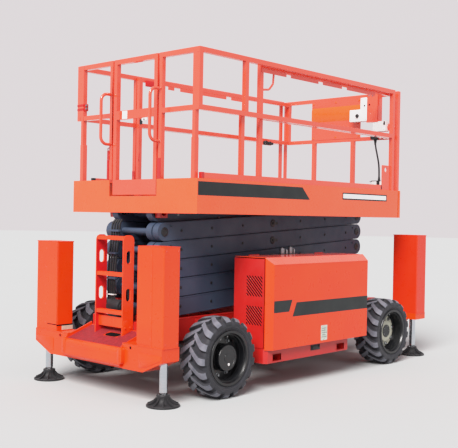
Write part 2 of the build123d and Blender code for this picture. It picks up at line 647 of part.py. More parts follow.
# extension deck: slides forward on the main floor, inside the side rails
EXT_X0, EXT_X1 = -773.0, 1415.0
EXT_HALF = 686.0
EXT_Y = {1: 650.0, -1: 668.0}              # side rails of the extension, left and right
EXT_POST_X = {1: -754.0, -1: -625.0}      # rear posts, left and right
SKIRT_X = EXT_X1 - 25                     # back of the extension's front skirt
EXT_TOP = 2602.0


def ext_post(t):
    y = t * EXT_Y[t]
    x = EXT_POST_X[t]
    return box(x - H, x + H, y - t * H, y + t * (H - 1), FLOOR_Z + 8, EXT_TOP)


def extension_deck():
    out = [box(EXT_X0, SKIRT_X, -EXT_HALF, EXT_HALF, FLOOR_Z + 8, FLOOR_Z + 16)]
    for t in (1, -1):
        out.append(box(EXT_X0, SKIRT_X, t * (EXT_HALF - 5), t * EXT_HALF, FLOOR_Z + 8, FASCIA_Z1 - 12))
    return cut(fuse(out), *[ext_post(t) for t in (1, -1)])


def extension_rails():
    out = []
    x = EXT_X1 - H
    for t in (1, -1):
        y = t * EXT_Y[t]
        x0 = EXT_POST_X[t] - H
        out.append(box(x0, x, y - t * H, y + t * (H - 1), EXT_TOP - RAIL_T, EXT_TOP))
        out.append(box(x0, x, y - t * H, y + t * (H - 1), RAIL_MID - H, RAIL_MID + H))
        out.append(ext_post(t))
        out.append(box(x - H, x + H, t * (EXT_Y[t] - H), t * (RAIL_Y[t]), RAIL_TOP - 3 * RAIL_T, RAIL_TOP))
        out.append(box(x - H, x + H, t * (EXT_Y[t] - H), t * (RAIL_Y[t]), RAIL_MID - H, RAIL_MID + H))
    # front corners: a flat post on the left, doubled above the middle rail; a tube on the right
    out.append(box(x - H, x + H, 684, 703, FASCIA_Z1, RAIL_TOP))
    out.append(box(x - H, x + H, 634, 684, RAIL_MID, RAIL_TOP))
    out.append(box(x - H - 12, x + H - 12, -731, -693, FASCIA_Z1, RAIL_TOP))
    out.append(box(x - H, x + H, -RAIL_Y[-1], 703, RAIL_TOP - RAIL_T, RAIL_TOP))
    out.append(box(x - H, x + H, -RAIL_Y[-1], 703, RAIL_MID - H, RAIL_MID + H))
    for y in (-190, 300):
        out.append(post(x, y))
    # hanger plate of the control box, on the back of the front top rail
    out.append(box(x - H - 25, x - H, -557, -428, RAIL_TOP - 20, RAIL_TOP - 12))
    out.append(box(x - H - 31, x - H - 25, -557, -428, 2326, RAIL_TOP - 12))
    return fuse(out)


part("extension_deck", extension_deck())
part("extension_front_skirt", box(SKIRT_X, EXT_X1, -DECK_HALF, DECK_HALF, FASCIA_Z0, FASCIA_Z1))
part("extension_rails", extension_rails())
part("front_panel", box(EXT_X1 - RAIL_T - 4, EXT_X1 - RAIL_T, -291, 322, 2185, 2585))

# control station on the front rail: stepped housing, its plug and the cable down to the deck socket
STATION_X = EXT_X1 - RAIL_T - 31.5
HOUSING = [(-222, 2338), (-222, 2457), (-350, 2457), (-350, 2571), (-548, 2571), (-548, 2326), (-643, 2326), (-643, 2226), (-500, 2226), (-500, 2338)]
part("control_box", prism_yz(HOUSING, STATION_X - 64, STATION_X))

CABLE_R = 8.0
# x, y, z of the cable's route: out of the plug, a slow bend, into the socket
CABLE = [(1350, -486, 2150), (1350, -486, 2100), (1354, -508, 2005), (1358, -526, 1915), (1359, -531, 1835), (1359, -531, 1750)]
part("control_plug",
     fuse([box(1317, EXT_X1 - RAIL_T, -515, -444, 2150, 2202), box(1347, EXT_X1 - RAIL_T, -612, -510, 2158, 2190)]),
     box(1338, SKIRT_X, -572, -420, 1640, 1750))


def control_cable():
    pts = [Vector(*p) for p in CABLE]
    radii = []
    for a, b, c in zip(pts, pts[1:], pts[2:]):
        turn = math.radians((b - a).get_angle(c - b))
        radii.append(0.45 * min((b - a).length, (c - b).length) / math.tan(turn / 2))
    print("cable radii", [round(r) for r in radii])
    path = FilletPolyline(*CABLE, radius=radii)
    start = Plane(origin=pts[0], z_dir=(pts[1] - pts[0]).normalized())
    tube = sweep(start * Circle(CABLE_R), path=path)
    print("cable length", round(path.length, 1), "volume ratio", round(tube.volume / (math.pi * CABLE_R ** 2 * path.length), 4))
    return tube


part("control_cable", control_cable())

# ---------------------------------------------------------------- write
os.makedirs("parts", exist_ok=True)
for name, shapes in PARTS.items():
    solids = [s for shape in shapes for s in (Pos(SHIFT_X, 0, 0) * shape).solids()]
    out = solids[0] if len(solids) == 1 else Compound(children=solids)
    out.label = name
    export_step(out, f"parts/{name}.step")
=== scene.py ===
import math
import random

import bmesh
import bpy
from mathutils import Matrix, Vector


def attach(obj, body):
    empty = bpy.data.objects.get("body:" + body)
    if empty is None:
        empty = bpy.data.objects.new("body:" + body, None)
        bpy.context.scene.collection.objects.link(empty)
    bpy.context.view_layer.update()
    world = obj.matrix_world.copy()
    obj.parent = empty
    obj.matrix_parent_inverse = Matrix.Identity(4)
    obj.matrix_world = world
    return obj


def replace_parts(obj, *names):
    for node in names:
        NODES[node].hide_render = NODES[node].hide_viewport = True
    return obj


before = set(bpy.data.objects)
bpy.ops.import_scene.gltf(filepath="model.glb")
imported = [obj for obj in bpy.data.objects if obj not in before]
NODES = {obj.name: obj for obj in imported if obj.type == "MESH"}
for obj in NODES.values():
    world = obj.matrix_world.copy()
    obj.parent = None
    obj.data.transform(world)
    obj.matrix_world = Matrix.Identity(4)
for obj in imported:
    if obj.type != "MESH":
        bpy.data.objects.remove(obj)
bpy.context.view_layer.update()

# Sizes below are metres in the machine's layout frame, whose origin is under the middle of the main deck.
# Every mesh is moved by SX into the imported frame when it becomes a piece.
SX = -0.060
rad = math.radians


# ---------------------------------------------------------------- camera
def camera():
    yaw, pitch, roll = rad(42.6504), rad(-0.5122), rad(1.0033)
    fwd = Vector((math.cos(yaw) * math.cos(pitch), math.sin(yaw) * math.cos(pitch), math.sin(pitch)))
    right0 = Vector((math.sin(yaw), -math.cos(yaw), 0))
    up0 = right0.cross(fwd)
    c, s = math.cos(roll), math.sin(roll)
    right, up = c * right0 + s * up0, -s * right0 + c * up0
    data = bpy.data.cameras.new("camera")
    data.sensor_fit = "HORIZONTAL"
    data.sensor_width = 36.0
    data.lens = 845.93 / 458 * 36
    data.clip_start, data.clip_end = 0.1, 300
    ob = bpy.data.objects.new("camera", data)
    bpy.context.scene.collection.objects.link(ob)
    at = Vector((-5.8037 + SX, -5.1213, 1.3686))
    ob.matrix_world = Matrix(((right.x, up.x, -fwd.x, at.x), (right.y, up.y, -fwd.y, at.y), (right.z, up.z, -fwd.z, at.z), (0, 0, 0, 1)))
    bpy.context.scene.camera = ob


camera()


# ---------------------------------------------------------------- materials
def lin(r, g, b):
    out = []
    for v in (r, g, b):
        v /= 255
        out.append(v / 12.92 if v <= 0.04045 else ((v + 0.055) / 1.055) ** 2.4)
    return (*out, 1.0)


class Shader:
    """A Principled material whose colour, roughness and bump come from procedural nodes in the object's own coordinates."""

    def __init__(self, name, metallic=0.0, coat=0.0, coat_rough=0.08, spec=0.5, ior=1.5, sheen=0.0):
        self.m = bpy.data.materials.new(name)
        self.m.use_nodes = True
        self.t = self.m.node_tree
        self.t.nodes.clear()
        self.out = self.t.nodes.new("ShaderNodeOutputMaterial")
        self.b = self.t.nodes.new("ShaderNodeBsdfPrincipled")
        self.t.links.new(self.b.outputs[0], self.out.inputs[0])
        self.b.inputs["Metallic"].default_value = metallic
        self.b.inputs["Coat Weight"].default_value = coat
        self.b.inputs["Coat Roughness"].default_value = coat_rough
        self.b.inputs["Specular IOR Level"].default_value = spec
        self.b.inputs["IOR"].default_value = ior
        self.b.inputs["Sheen Weight"].default_value = sheen
        self.tc = self.t.nodes.new("ShaderNodeTexCoord")
        self.height = None

    def link(self, a, b):
        self.t.links.new(a, b)

    def coords(self, scale=(1, 1, 1), rot=(0, 0, 0)):
        mp = self.t.nodes.new("ShaderNodeMapping")
        mp.inputs["Scale"].default_value = scale
        mp.inputs["Rotation"].default_value = rot
        self.link(self.tc.outputs["Object"], mp.inputs["Vector"])
        return mp.outputs["Vector"]

    def noise(self, scale, detail=4.0, rough=0.55, stretch=(1, 1, 1)):
        n = self.t.nodes.new("ShaderNodeTexNoise")
        n.inputs["Scale"].default_value = scale
        n.inputs["Detail"].default_value = detail
        n.inputs["Roughness"].default_value = rough
        self.link(self.coords(stretch), n.inputs["Vector"])
        return n.outputs["Fac"]

    def voronoi(self, scale, feature="F1"):
        n = self.t.nodes.new("ShaderNodeTexVoronoi")
        n.feature = feature
        n.inputs["Scale"].default_value = scale
        self.link(self.coords(), n.inputs["Vector"])
        return n.outputs["Distance"]

    def ramp(self, fac, lo, hi, a=0.0, b=1.0):
        n = self.t.nodes.new("ShaderNodeMapRange")
        n.interpolation_type = "SMOOTHSTEP"
        n.inputs["From Min"].default_value = lo
        n.inputs["From Max"].default_value = hi
        n.inputs["To Min"].default_value = a
        n.inputs["To Max"].default_value = b
        self.link(fac, n.inputs["Value"])
        return n.outputs["Result"]

    def math(self, op, a, b):
        n = self.t.nodes.new("ShaderNodeMath")
        n.operation = op
        for i, v in enumerate((a, b)):
            if isinstance(v, (int, float)):
                n.inputs[i].default_value = v
            else:
                self.link(v, n.inputs[i])
        return n.outputs[0]

    def mix(self, fac, a, b):
        n = self.t.nodes.new("ShaderNodeMix")
        n.data_type = "RGBA"
        self.link(fac, n.inputs[0])
        for i, v in ((6, a), (7, b)):
            if isinstance(v, tuple):
                n.inputs[i].default_value = v
            else:
                self.link(v, n.inputs[i])
        return n.outputs[2]

    def axis(self, which):
        n = self.t.nodes.new("ShaderNodeSeparateXYZ")
        self.link(self.tc.outputs["Object"], n.inputs[0])
        return n.outputs["XYZ".index(which)]

    def colour(self, socket):
        self.link(socket, self.b.inputs["Base Color"])

    def rough(self, fac, a, b, lo=0.3, hi=0.7):
        self.link(self.ramp(fac, lo, hi, a, b), self.b.inputs["Roughness"])

    def bump(self, fac, strength, distance):
        n = self.t.nodes.new("ShaderNodeBump")
        n.inputs["Strength"].default_value = strength
        n.inputs["Distance"].default_value = distance
        self.link(fac, n.inputs["Height"])
        if self.height is not None:
            self.link(self.height, n.inputs["Normal"])
        self.height = n.outputs["Normal"]
        self.link(self.height, self.b.inputs["Normal"])


def paint(name, base, deep, light, rough=(0.30, 0.42), coat=0.35, dust=0.25, spec=0.5):
    """Sprayed gloss paint: faint cloudiness, orange-peel, and road film low on the machine."""
    s = Shader(name, coat=coat, coat_rough=0.10, spec=spec)
    cloud = s.noise(2.2, 5, 0.6)
    fine = s.noise(38, 3, 0.6)
    c = s.mix(s.ramp(cloud, 0.32, 0.68), base, deep)
    c = s.mix(s.ramp(fine, 0.55, 0.80, 0.0, 0.35), c, light)
    film = s.math("MULTIPLY", s.ramp(s.axis("Z"), 0.60, 0.02), s.ramp(s.noise(9, 6, 0.65), 0.45, 0.72))
    c = s.mix(s.math("MULTIPLY", film, dust), c, lin(120, 98, 88))
    s.colour(c)
    s.rough(s.noise(14, 5, 0.6), *rough)
    s.bump(s.noise(420, 2, 0.5), 0.05, 0.0006)
    s.bump(s.noise(6, 2, 0.5), 0.04, 0.002)
    return s.m


def satin(name, base, deep, rough=(0.42, 0.6), metallic=0.0, bump=(260, 0.12, 0.0006), scale=7.0, coat=0.0, dust=None, spec=0.5):
    s = Shader(name, metallic=metallic, coat=coat, spec=spec)
    c = s.mix(s.ramp(s.noise(scale, 6, 0.6), 0.3, 0.7), base, deep)
    if dust:
        colour, amount, top = dust
        film = s.math("MULTIPLY", s.ramp(s.axis("Z"), top, 0.0), s.ramp(s.noise(11, 6, 0.7), 0.42, 0.70))
        c = s.mix(s.math("MULTIPLY", film, amount), c, colour)
    s.colour(c)
    s.rough(s.noise(scale * 3, 5, 0.6), *rough)
    s.bump(s.noise(bump[0], 3, 0.6), bump[1], bump[2])
    return s.m


def brushed(name, base, deep, rough, stretch, scale=60.0, metallic=1.0, bump=0.08):
    """Ground or drawn metal: fine lines along one direction."""
    s = Shader(name, metallic=metallic)
    lines = s.noise(scale, 6, 0.7, stretch)
    s.colour(s.mix(s.ramp(lines, 0.3, 0.7), base, deep))
    s.rough(lines, *rough)
    s.bump(lines, bump, 0.0004)
    return s.m


def rubber(name, base, deep, rough=(0.62, 0.8), grit=(180, 0.25)):
    s = Shader(name, spec=0.35, sheen=0.08)
    c = s.mix(s.ramp(s.noise(16, 6, 0.65), 0.3, 0.72), base, deep)
    s.colour(c)
    s.rough(s.noise(40, 4, 0.6), *rough)
    s.bump(s.noise(grit[0], 4, 0.65), grit[1], 0.0015)
    return s.m


ORANGE = paint("orange_paint", (0.82, 0.048, 0.004, 1), (0.80, 0.041, 0.004, 1), (0.84, 0.058, 0.007, 1), rough=(0.26, 0.38), coat=0.12, dust=0.04, spec=0.4)
# painted shade: a darker copy of the orange paint, for the front jack covers that stand in less light
ORANGE_FRONT_SHADED = paint("orange_paint_front_shaded", (0.71, 0.031, 0.007, 1), (0.69, 0.027, 0.006, 1), (0.74, 0.038, 0.010, 1), rough=(0.26, 0.38), coat=0.12, dust=0.04, spec=0.4)
# painted shade: a deeper red copy of the orange paint, for the ladder plates' inner faces that sit in their own shade
LADDER_SHADE = paint("ladder_inner_shade", (0.62, 0.012, 0.013, 1), (0.58, 0.010, 0.012, 1), (0.66, 0.018, 0.017, 1), rough=(0.28, 0.40), coat=0.15, dust=0.0)
# painted reflection: a lighter, pinker copy of the orange paint, for the sheen of light on the rails, their fittings
# and upward faces
ORANGE_SHEEN = paint("orange_paint_sheen", (0.83, 0.076, 0.040, 1), (0.82, 0.066, 0.032, 1), (0.85, 0.096, 0.056, 1), rough=(0.20, 0.30), coat=0.8, dust=0.0)
# painted highlight: a lighter copy of the orange paint, for the light and sheen on the fascia, extension deck and skirt
ORANGE_LIT = paint("orange_paint_platform_lit", (0.83, 0.088, 0.022, 1), (0.82, 0.078, 0.016, 1), (0.85, 0.104, 0.034, 1), rough=(0.24, 0.36), coat=0.6, dust=0.0)
# painted shade: a darker copy of the orange paint, for the chassis, trays, deck and tank in the shade under the
# platform
ORANGE_SHADED = paint("orange_paint_shaded", (0.48, 0.014, 0.010, 1), (0.44, 0.011, 0.009, 1), (0.52, 0.020, 0.013, 1), rough=(0.3, 0.44), coat=0.15, dust=0.06)
ORANGE_HOT = paint("orange_paint_band", (0.84, 0.092, 0.008, 1), (0.83, 0.082, 0.006, 1), (0.86, 0.106, 0.014, 1), rough=(0.22, 0.34), coat=0.5, dust=0.0)
DARK_RED = paint("dark_red_paint", (0.46, 0.014, 0.012, 1), (0.40, 0.010, 0.010, 1), (0.52, 0.022, 0.018, 1), rough=(0.3, 0.45), coat=0.3, dust=0.0)
GRIT_RED = satin("antislip_red", (0.24, 0.006, 0.010, 1), (0.18, 0.004, 0.008, 1), rough=(0.6, 0.85), bump=(520, 0.6, 0.0016), scale=22)
STACK = satin("stack_paint", lin(58, 69, 87), lin(50, 61, 80), rough=(0.40, 0.56), coat=0.05, bump=(300, 0.06, 0.0005), scale=3.5, spec=0.35)
BLACK = satin("black_paint", lin(24, 25, 29), lin(17, 18, 21), rough=(0.38, 0.55), bump=(240, 0.10, 0.0006), dust=(lin(80, 76, 72), 0.15, 0.6))
RIM = satin("rim_black", lin(15, 17, 20), lin(11, 12, 15), rough=(0.28, 0.42), coat=0.2, bump=(200, 0.08, 0.0006))
CREAM = satin("hub_cream", lin(196, 196, 178), lin(168, 170, 154), rough=(0.42, 0.6), bump=(160, 0.10, 0.0008))
RUBBER = rubber("tyre_rubber", lin(40, 41, 47), lin(31, 32, 38))
# painted highlight: lighter rubber for the lug tops, for the light caught on them
RUBBER_SHEEN = rubber("tyre_lug_top", lin(104, 105, 114), lin(80, 82, 92), rough=(0.55, 0.72), grit=(130, 0.35))
RUBBER_SOFT = rubber("black_rubber", lin(26, 26, 29), lin(18, 18, 21), rough=(0.5, 0.68), grit=(220, 0.18))
CHROME = brushed("chrome_rod", lin(214, 218, 222), lin(190, 196, 202), (0.08, 0.18), (1, 1, 60), scale=14, bump=0.02)
ZINC = brushed("zinc_steel", lin(168, 170, 172), lin(132, 136, 140), (0.28, 0.48), (1, 1, 1), scale=120, bump=0.12)
PLATE = brushed("tread_plate", lin(150, 154, 158), lin(118, 122, 128), (0.52, 0.68), (1, 1, 1), scale=40, metallic=0.70, bump=0.12)
WHITE = satin("white_plastic", lin(232, 230, 228), lin(220, 218, 218), rough=(0.38, 0.5), bump=(300, 0.05, 0.0004), scale=12)
PLASTIC = satin("black_plastic", lin(22, 23, 26), lin(15, 16, 19), rough=(0.42, 0.58), bump=(420, 0.25, 0.0005), scale=18)
BAND = satin("charcoal_film", lin(34, 38, 38), lin(26, 30, 31), rough=(0.34, 0.46), bump=(90, 0.05, 0.0004), scale=5, spec=0.35)
# painted shade: flat black for holes, gaps and recesses that sit in shade
SHADOW_FILL = satin("shadow_black", lin(12, 12, 13), lin(8, 8, 9), rough=(0.85, 0.95), spec=0.1)
GREEN = satin("sticker_grey", lin(196, 204, 196), lin(150, 162, 150), rough=(0.45, 0.6), scale=60)
ENGINE = satin("engine_grey", lin(96, 98, 100), lin(76, 78, 80), rough=(0.5, 0.7), bump=(90, 0.35, 0.002), scale=9)
RED_KNOB = satin("red_plastic", (0.60, 0.012, 0.010, 1), (0.50, 0.008, 0.008, 1), rough=(0.3, 0.45), bump=(300, 0.08, 0.0005), scale=15)


# ---------------------------------------------------------------- mesh tools
def mark(bm, index):
    """Gives every face that has no material yet this material index."""
    layer = bm.faces.layers.int.get("done") or bm.faces.layers.int.new("done")
    for f in bm.faces:
        if not f[layer]:
            f[layer] = 1
            f.material_index = index


def sharp_edges(bm, faces, angle):
    edges = {e for f in faces for e in f.edges}
    return [e for e in edges if len(e.link_faces) == 2 and e.calc_face_angle(0) > angle]


def box(bm, x0, x1, y0, y1, z0, z1, bev=0.002, seg=2, m=None):
    size = (abs(x1 - x0), abs(y1 - y0), abs(z1 - z0))
    mat = Matrix.Translation(((x0 + x1) / 2, (y0 + y1) / 2, (z0 + z1) / 2)) @ Matrix.Diagonal((*size, 1))
    if m is not None:
        mat = m @ mat
    verts = bmesh.ops.create_cube(bm, size=1, matrix=mat)["verts"]
    if bev:
        edges = list({e for v in verts for e in v.link_edges})
        bmesh.ops.bevel(bm, geom=edges, offset=min(bev, 0.45 * min(size)), segments=seg, profile=0.6, affect="EDGES", clamp_overlap=True)


def frame_of(d):
    d = d.normalized()
    side = d.cross(Vector((0, 0, 1))) if abs(d.z) < 0.9 else d.cross(Vector((1, 0, 0)))
    side.normalize()
    return side, d.cross(side).normalized(), d


def rings(bm, loops, closed_ends=True):
    """Skins a list of equal-length vertex rings."""
    rows = [[bm.verts.new(p) for p in loop] for loop in loops]
    n = len(rows[0])
    for a, b in zip(rows, rows[1:]):
        for i in range(n):
            j = (i + 1) % n
            bm.faces.new((a[i], a[j], b[j], b[i]))
    if closed_ends:
        bm.faces.new(rows[0][::-1])
        bm.faces.new(rows[-1])
    return rows


def cyl(bm, p, q, r, seg=20, bev=0.0, r2=None):
    """A rod from p to q with chamfered rims."""
    p, q = Vector(p), Vector(q)
    u, v, d = frame_of(q - p)
    length = (q - p).length
    r2 = r if r2 is None else r2
    st = [(0, r), (length, r2)]
    if bev:
        bev = min(bev, length * 0.4, r * 0.6)
        st = [(0, r - bev), (bev * 0.3, r - bev * 0.3), (bev, r), (length - bev, r2), (length - bev * 0.3, r2 - bev * 0.3), (length, r2 - bev)]
    loops = []
    for a, rr in st:
        loops.append([p + d * a + (u * math.cos(2 * math.pi * k / seg) + v * math.sin(2 * math.pi * k / seg)) * rr for k in range(seg)])
    rings(bm, loops)


def lathe(bm, prof, origin, axis, seg=48, closed=False):
    """Turns (radius, distance along the axis) points about an axis."""
    origin, axis = Vector(origin), Vector(axis).normalized()
    u, v, _ = frame_of(axis)
    cols = []
    for k in range(seg):
        a = 2 * math.pi * k / seg
        cols.append((u * math.cos(a) + v * math.sin(a)))
    rows = []
    for r, d in prof:
        if r < 1e-5:
            rows.append([bm.verts.new(origin + axis * d)])
        else:
            rows.append([bm.verts.new(origin + axis * d + c * r) for c in cols])
    pairs = list(zip(rows, rows[1:]))
    if closed:
        pairs.append((rows[-1], rows[0]))
    for a, b in pairs:
        for i in range(seg):
            j = (i + 1) % seg
            if len(a) == 1 and len(b) == 1:
                continue
            if len(a) == 1:
                bm.faces.new((a[0], b[j], b[i]))
            elif len(b) == 1:
                bm.faces.new((a[i], a[j], b[0]))
            else:
                bm.faces.new((a[i], a[j], b[j], b[i]))


def prism(bm, pts, plane, a0, a1, bev=0.0015, seg=2):
    """A flat plate: a polygon in one plane, between two values of the third axis."""
    def at(p, a):
        return {"xz": (p[0], a, p[1]), "yz": (a, p[0], p[1]), "xy": (p[0], p[1], a)}[plane]
    low = [bm.verts.new(at(p, a0)) for p in pts]
    high = [bm.verts.new(at(p, a1)) for p in pts]
    faces = [bm.faces.new(low), bm.faces.new(high[::-1])]
    n = len(pts)
    for i in range(n):
        j = (i + 1) % n
        faces.append(bm.faces.new((low[j], low[i], high[i], high[j])))
    bmesh.ops.recalc_face_normals(bm, faces=faces)
    if bev:
        rim = list({e for f in faces[:2] for e in f.edges})
        bmesh.ops.bevel(bm, geom=rim, offset=min(bev, abs(a1 - a0) * 0.4), segments=seg, profile=0.6, affect="EDGES", clamp_overlap=True)


def rounded(pts, r, n=4):
    """The polygon with its corners rounded to radius r."""
    out = []
    m = len(pts)
    for i in range(m):
        a, b, c = (Vector((*pts[k % m], 0)) for k in (i - 1, i, i + 1))
        u, v = (a - b), (c - b)
        lu, lv = u.length, v.length
        u.normalize(); v.normalize()
        half = math.acos(max(-1, min(1, u.dot(v)))) / 2
        cutback = min(r / math.tan(half), lu * 0.45, lv * 0.45) if half > 1e-3 else 0
        p, q = b + u * cutback, b + v * cutback
        for k in range(n + 1):
            t = k / n
            w = p * (1 - t) ** 2 + b * (2 * t * (1 - t)) + q * t * t
            out.append((w.x, w.y))
    return out


def capsule(cx, cz, length, width, ang=0.0, n=6):
    """A slot outline: centre, overall length, width, direction."""
    r = width / 2
    h = length / 2 - r
    pts = []
    for side in (1, -1):
        for k in range(n + 1):
            a = -math.pi / 2 + math.pi * k / n
            pts.append((side * (h + r * math.cos(a)), side * r * math.sin(a)))
    c, s = math.cos(ang), math.sin(ang)
    return [(cx + x * c - y * s, cz + x * s + y * c) for x, y in pts]


def smooth(pts, n=8):
    """A Catmull-Rom line through the points of a bent metal tube."""
    pts = [Vector(p) for p in pts]
    ext = [pts[0] * 2 - pts[1]] + pts + [pts[-1] * 2 - pts[-2]]
    out = []
    for i in range(1, len(ext) - 2):
        a, b, c, d = ext[i - 1:i + 3]
        for k in range(n):
            t = k / n
            out.append(0.5 * ((2 * b) + (c - a) * t + (2 * a - 5 * b + 4 * c - d) * t * t + (3 * b - a - 3 * c + d) * t ** 3))
    out.append(pts[-1])
    return out


def bent(pts, r, n=5):
    """A tube's centre line with its corners bent to radius r."""
    pts = [Vector(p) for p in pts]
    out = [pts[0]]
    for a, b, c in zip(pts, pts[1:], pts[2:]):
        u, v = (a - b).normalized(), (c - b).normalized()
        half = math.acos(max(-1, min(1, u.dot(v)))) / 2
        cb = min(r / math.tan(half), (a - b).length * 0.48, (c - b).length * 0.48)
        p, q = b + u * cb, b + v * cb
        for k in range(n + 1):
            t = k / n
            out.append(p * (1 - t) ** 2 + b * (2 * t * (1 - t)) + q * t * t)
    out.append(pts[-1])
    return out


def tube(bm, pts, r, seg=12):
    """A round bar swept along a line."""
    pts = [Vector(p) for p in pts]
    d0 = (pts[1] - pts[0]).normalized()
    u, v, _ = frame_of(d0)
    loops = []
    for i, p in enumerate(pts):
        d = (pts[min(i + 1, len(pts) - 1)] - pts[max(i - 1, 0)]).normalized()
        u = (u - d * u.dot(d)).normalized()
        v = d.cross(u)
        loops.append([p + (u * math.cos(2 * math.pi * k / seg) + v * math.sin(2 * math.pi * k / seg)) * r for k in range(seg)])
    rings(bm, loops)


def bolt(bm, p, n, r=0.009, washer=True, h=None):
    """Hexagon head on a washer, on a face at p with outward normal n."""
    p, n = Vector(p), Vector(n).normalized()
    u, v, _ = frame_of(n)
    h = r * 0.75 if h is None else h
    z = 0.0
    if washer:
        t = r * 0.22
        loops = [[p + n * a + (u * math.cos(2 * math.pi * k / 16) + v * math.sin(2 * math.pi * k / 16)) * rr for k in range(16)]
                 for a, rr in ((-0.001, r * 1.45), (t * 0.6, r * 1.45), (t, r * 1.36))]
        rings(bm, loops)
        z = t
    loops = [[p + n * a + (u * math.cos(math.pi * k / 3 + 0.2) + v * math.sin(math.pi * k / 3 + 0.2)) * rr for k in range(6)]
             for a, rr in ((z - 0.001, r), (z + h * 0.8, r), (z + h, r * 0.86))]
    rings(bm, loops)


def weld(bm, p, q, r=0.004):
    """A weld bead between two points."""
    p, q = Vector(p), Vector(q)
    n = max(4, int((q - p).length / 0.008))
    u, v, d = frame_of(q - p)
    loops = []
    for i in range(n + 1):
        rr = r * (0.85 + 0.2 * math.sin(i * 2.1)) * (0.5 if i in (0, n) else 1)
        loops.append([p + (q - p) * (i / n) + (u * math.cos(2 * math.pi * k / 6) + v * math.sin(2 * math.pi * k / 6)) * rr for k in range(6)])
    rings(bm, loops)


def piece(name, bm, mats, body, replaces=(), sharp=35.0, shift=True):
    """Turns the working mesh into a piece that rides on a CAD body."""
    bmesh.ops.recalc_face_normals(bm, faces=bm.faces)
    me = bpy.data.meshes.new(name)
    bm.to_mesh(me)
    bm.free()
    if shift:
        me.transform(Matrix.Translation((SX, 0, 0)))
    for m in mats if isinstance(mats, (list, tuple)) else [mats]:
        me.materials.append(m)
    for p in me.polygons:
        p.use_smooth = True
    me.set_sharp_from_angle(angle=rad(sharp))
    if "done" in me.attributes:
        me.attributes.remove(me.attributes["done"])
    ob = bpy.data.objects.new(name, me)
    bpy.context.scene.collection.objects.link(ob)
    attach(ob, body)
    if replaces:
        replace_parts(ob, *replaces)
    return ob


SIDES = ((1, "left"), (-1, "right"))

# ---------------------------------------------------------------- the control cable, before everything else
CABLE = [(1.350, -0.486, 2.150), (1.350, -0.486, 2.100), (1.354, -0.508, 2.005), (1.358, -0.526, 1.915), (1.359, -0.531, 1.835), (1.359, -0.531, 1.750)]
CABLE_D = 0.016


def control_cable():
    curve = bpy.data.curves.new("control_cable_skin", "CURVE")
    curve.dimensions = "3D"
    sp = curve.splines.new("NURBS")
    sp.points.add(len(CABLE) - 1)
    for pt, p in zip(sp.points, CABLE):
        pt.co = (p[0] + SX, p[1], p[2], 1)
    sp.order_u = 3
    sp.use_endpoint_u = True
    curve.bevel_depth = CABLE_D / 2
    curve.bevel_resolution = 5
    curve.resolution_u = 14
    curve.materials.append(RUBBER_SOFT)
    ob = bpy.data.objects.new("control_cable_skin", curve)
    bpy.context.scene.collection.objects.link(ob)
    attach(ob, "extension")
    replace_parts(ob, "control_cable")
    return ob


cable = control_cable()

# the two ends of the cable: the plug under the control station and the socket on the deck's skirt
bm = bmesh.new()
box(bm, 1.3175, 1.3765, -0.5145, -0.4445, 2.155, 2.200, 0.006)
box(bm, 1.330, 1.370, -0.506, -0.452, 2.198, 2.2018, 0.0015)
mark(bm, 0)
cyl(bm, (1.350, -0.486, 2.160), (1.350, -0.486, 2.128), 0.0145, 20, 0.003, r2=0.0120)
cyl(bm, (1.350, -0.486, 2.130), (1.350, -0.486, 2.104), 0.0115, 20, 0.002, r2=0.0088)
for k in range(3):
    cyl(bm, (1.350, -0.486, 2.150 - k * 0.007), (1.350, -0.486, 2.147 - k * 0.007), 0.0160 - k * 0.0010, 20, 0.0008)
mark(bm, 1)
plug = piece("control_plug_body", bm, [PLASTIC, RUBBER_SOFT], "extension")

bm = bmesh.new()
box(bm, 1.348, 1.3765, -0.560, -0.520, 2.159, 2.189, 0.004)
cyl(bm, (1.362, -0.514, 2.174), (1.362, -0.611, 2.174), 0.008, 14, 0.002)
mark(bm, 0)
box(bm, 1.350, 1.3765, -0.600, -0.572, 2.161, 2.187, 0.004)
box(bm, 1.346, 1.349, -0.552, -0.530, 2.165, 2.183, 0.001)
mark(bm, 1)
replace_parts(piece("control_plug_clips", bm, [RED_KNOB, WHITE], "extension"), "control_plug")

bm = bmesh.new()
box(bm, 1.343, 1.3895, -0.571, -0.452, 1.672, 1.742, 0.007)
mark(bm, 0)
cyl(bm, (1.359, -0.531, 1.738), (1.359, -0.531, 1.7495), 0.0180, 20, 0.002)
cyl(bm, (1.359, -0.531, 1.742), (1.359, -0.531, 1.790), 0.0130, 20, 0.003, r2=0.0092)
box(bm, 1.3405, 1.344, -0.548, -0.514, 1.680, 1.748, 0.001)
mark(bm, 1)
socket = piece("control_socket_body", bm, [WHITE, PLASTIC], "extension")

bm = bmesh.new()
box(bm, 1.376, 1.3898, -0.571, -0.421, 1.641, 1.700, 0.003)
mark(bm, 0)
tube(bm, bent([(1.366, -0.446, 1.746), (1.362, -0.436, 1.736), (1.362, -0.422, 1.742)], 0.006), 0.0032, 8)
box(bm, 1.352, 1.378, -0.520, -0.440, 1.7432, 1.7495, 0.002)
mark(bm, 1)
for y in (-0.560, -0.432):
    bolt(bm, (1.376, y, 1.655), (-1, 0, 0), 0.0045, washer=False)
mark(bm, 2)
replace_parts(piece("control_socket_plate", bm, [WHITE, PLASTIC, ZINC], "extension"), "control_plug")
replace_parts(plug, "control_plug")


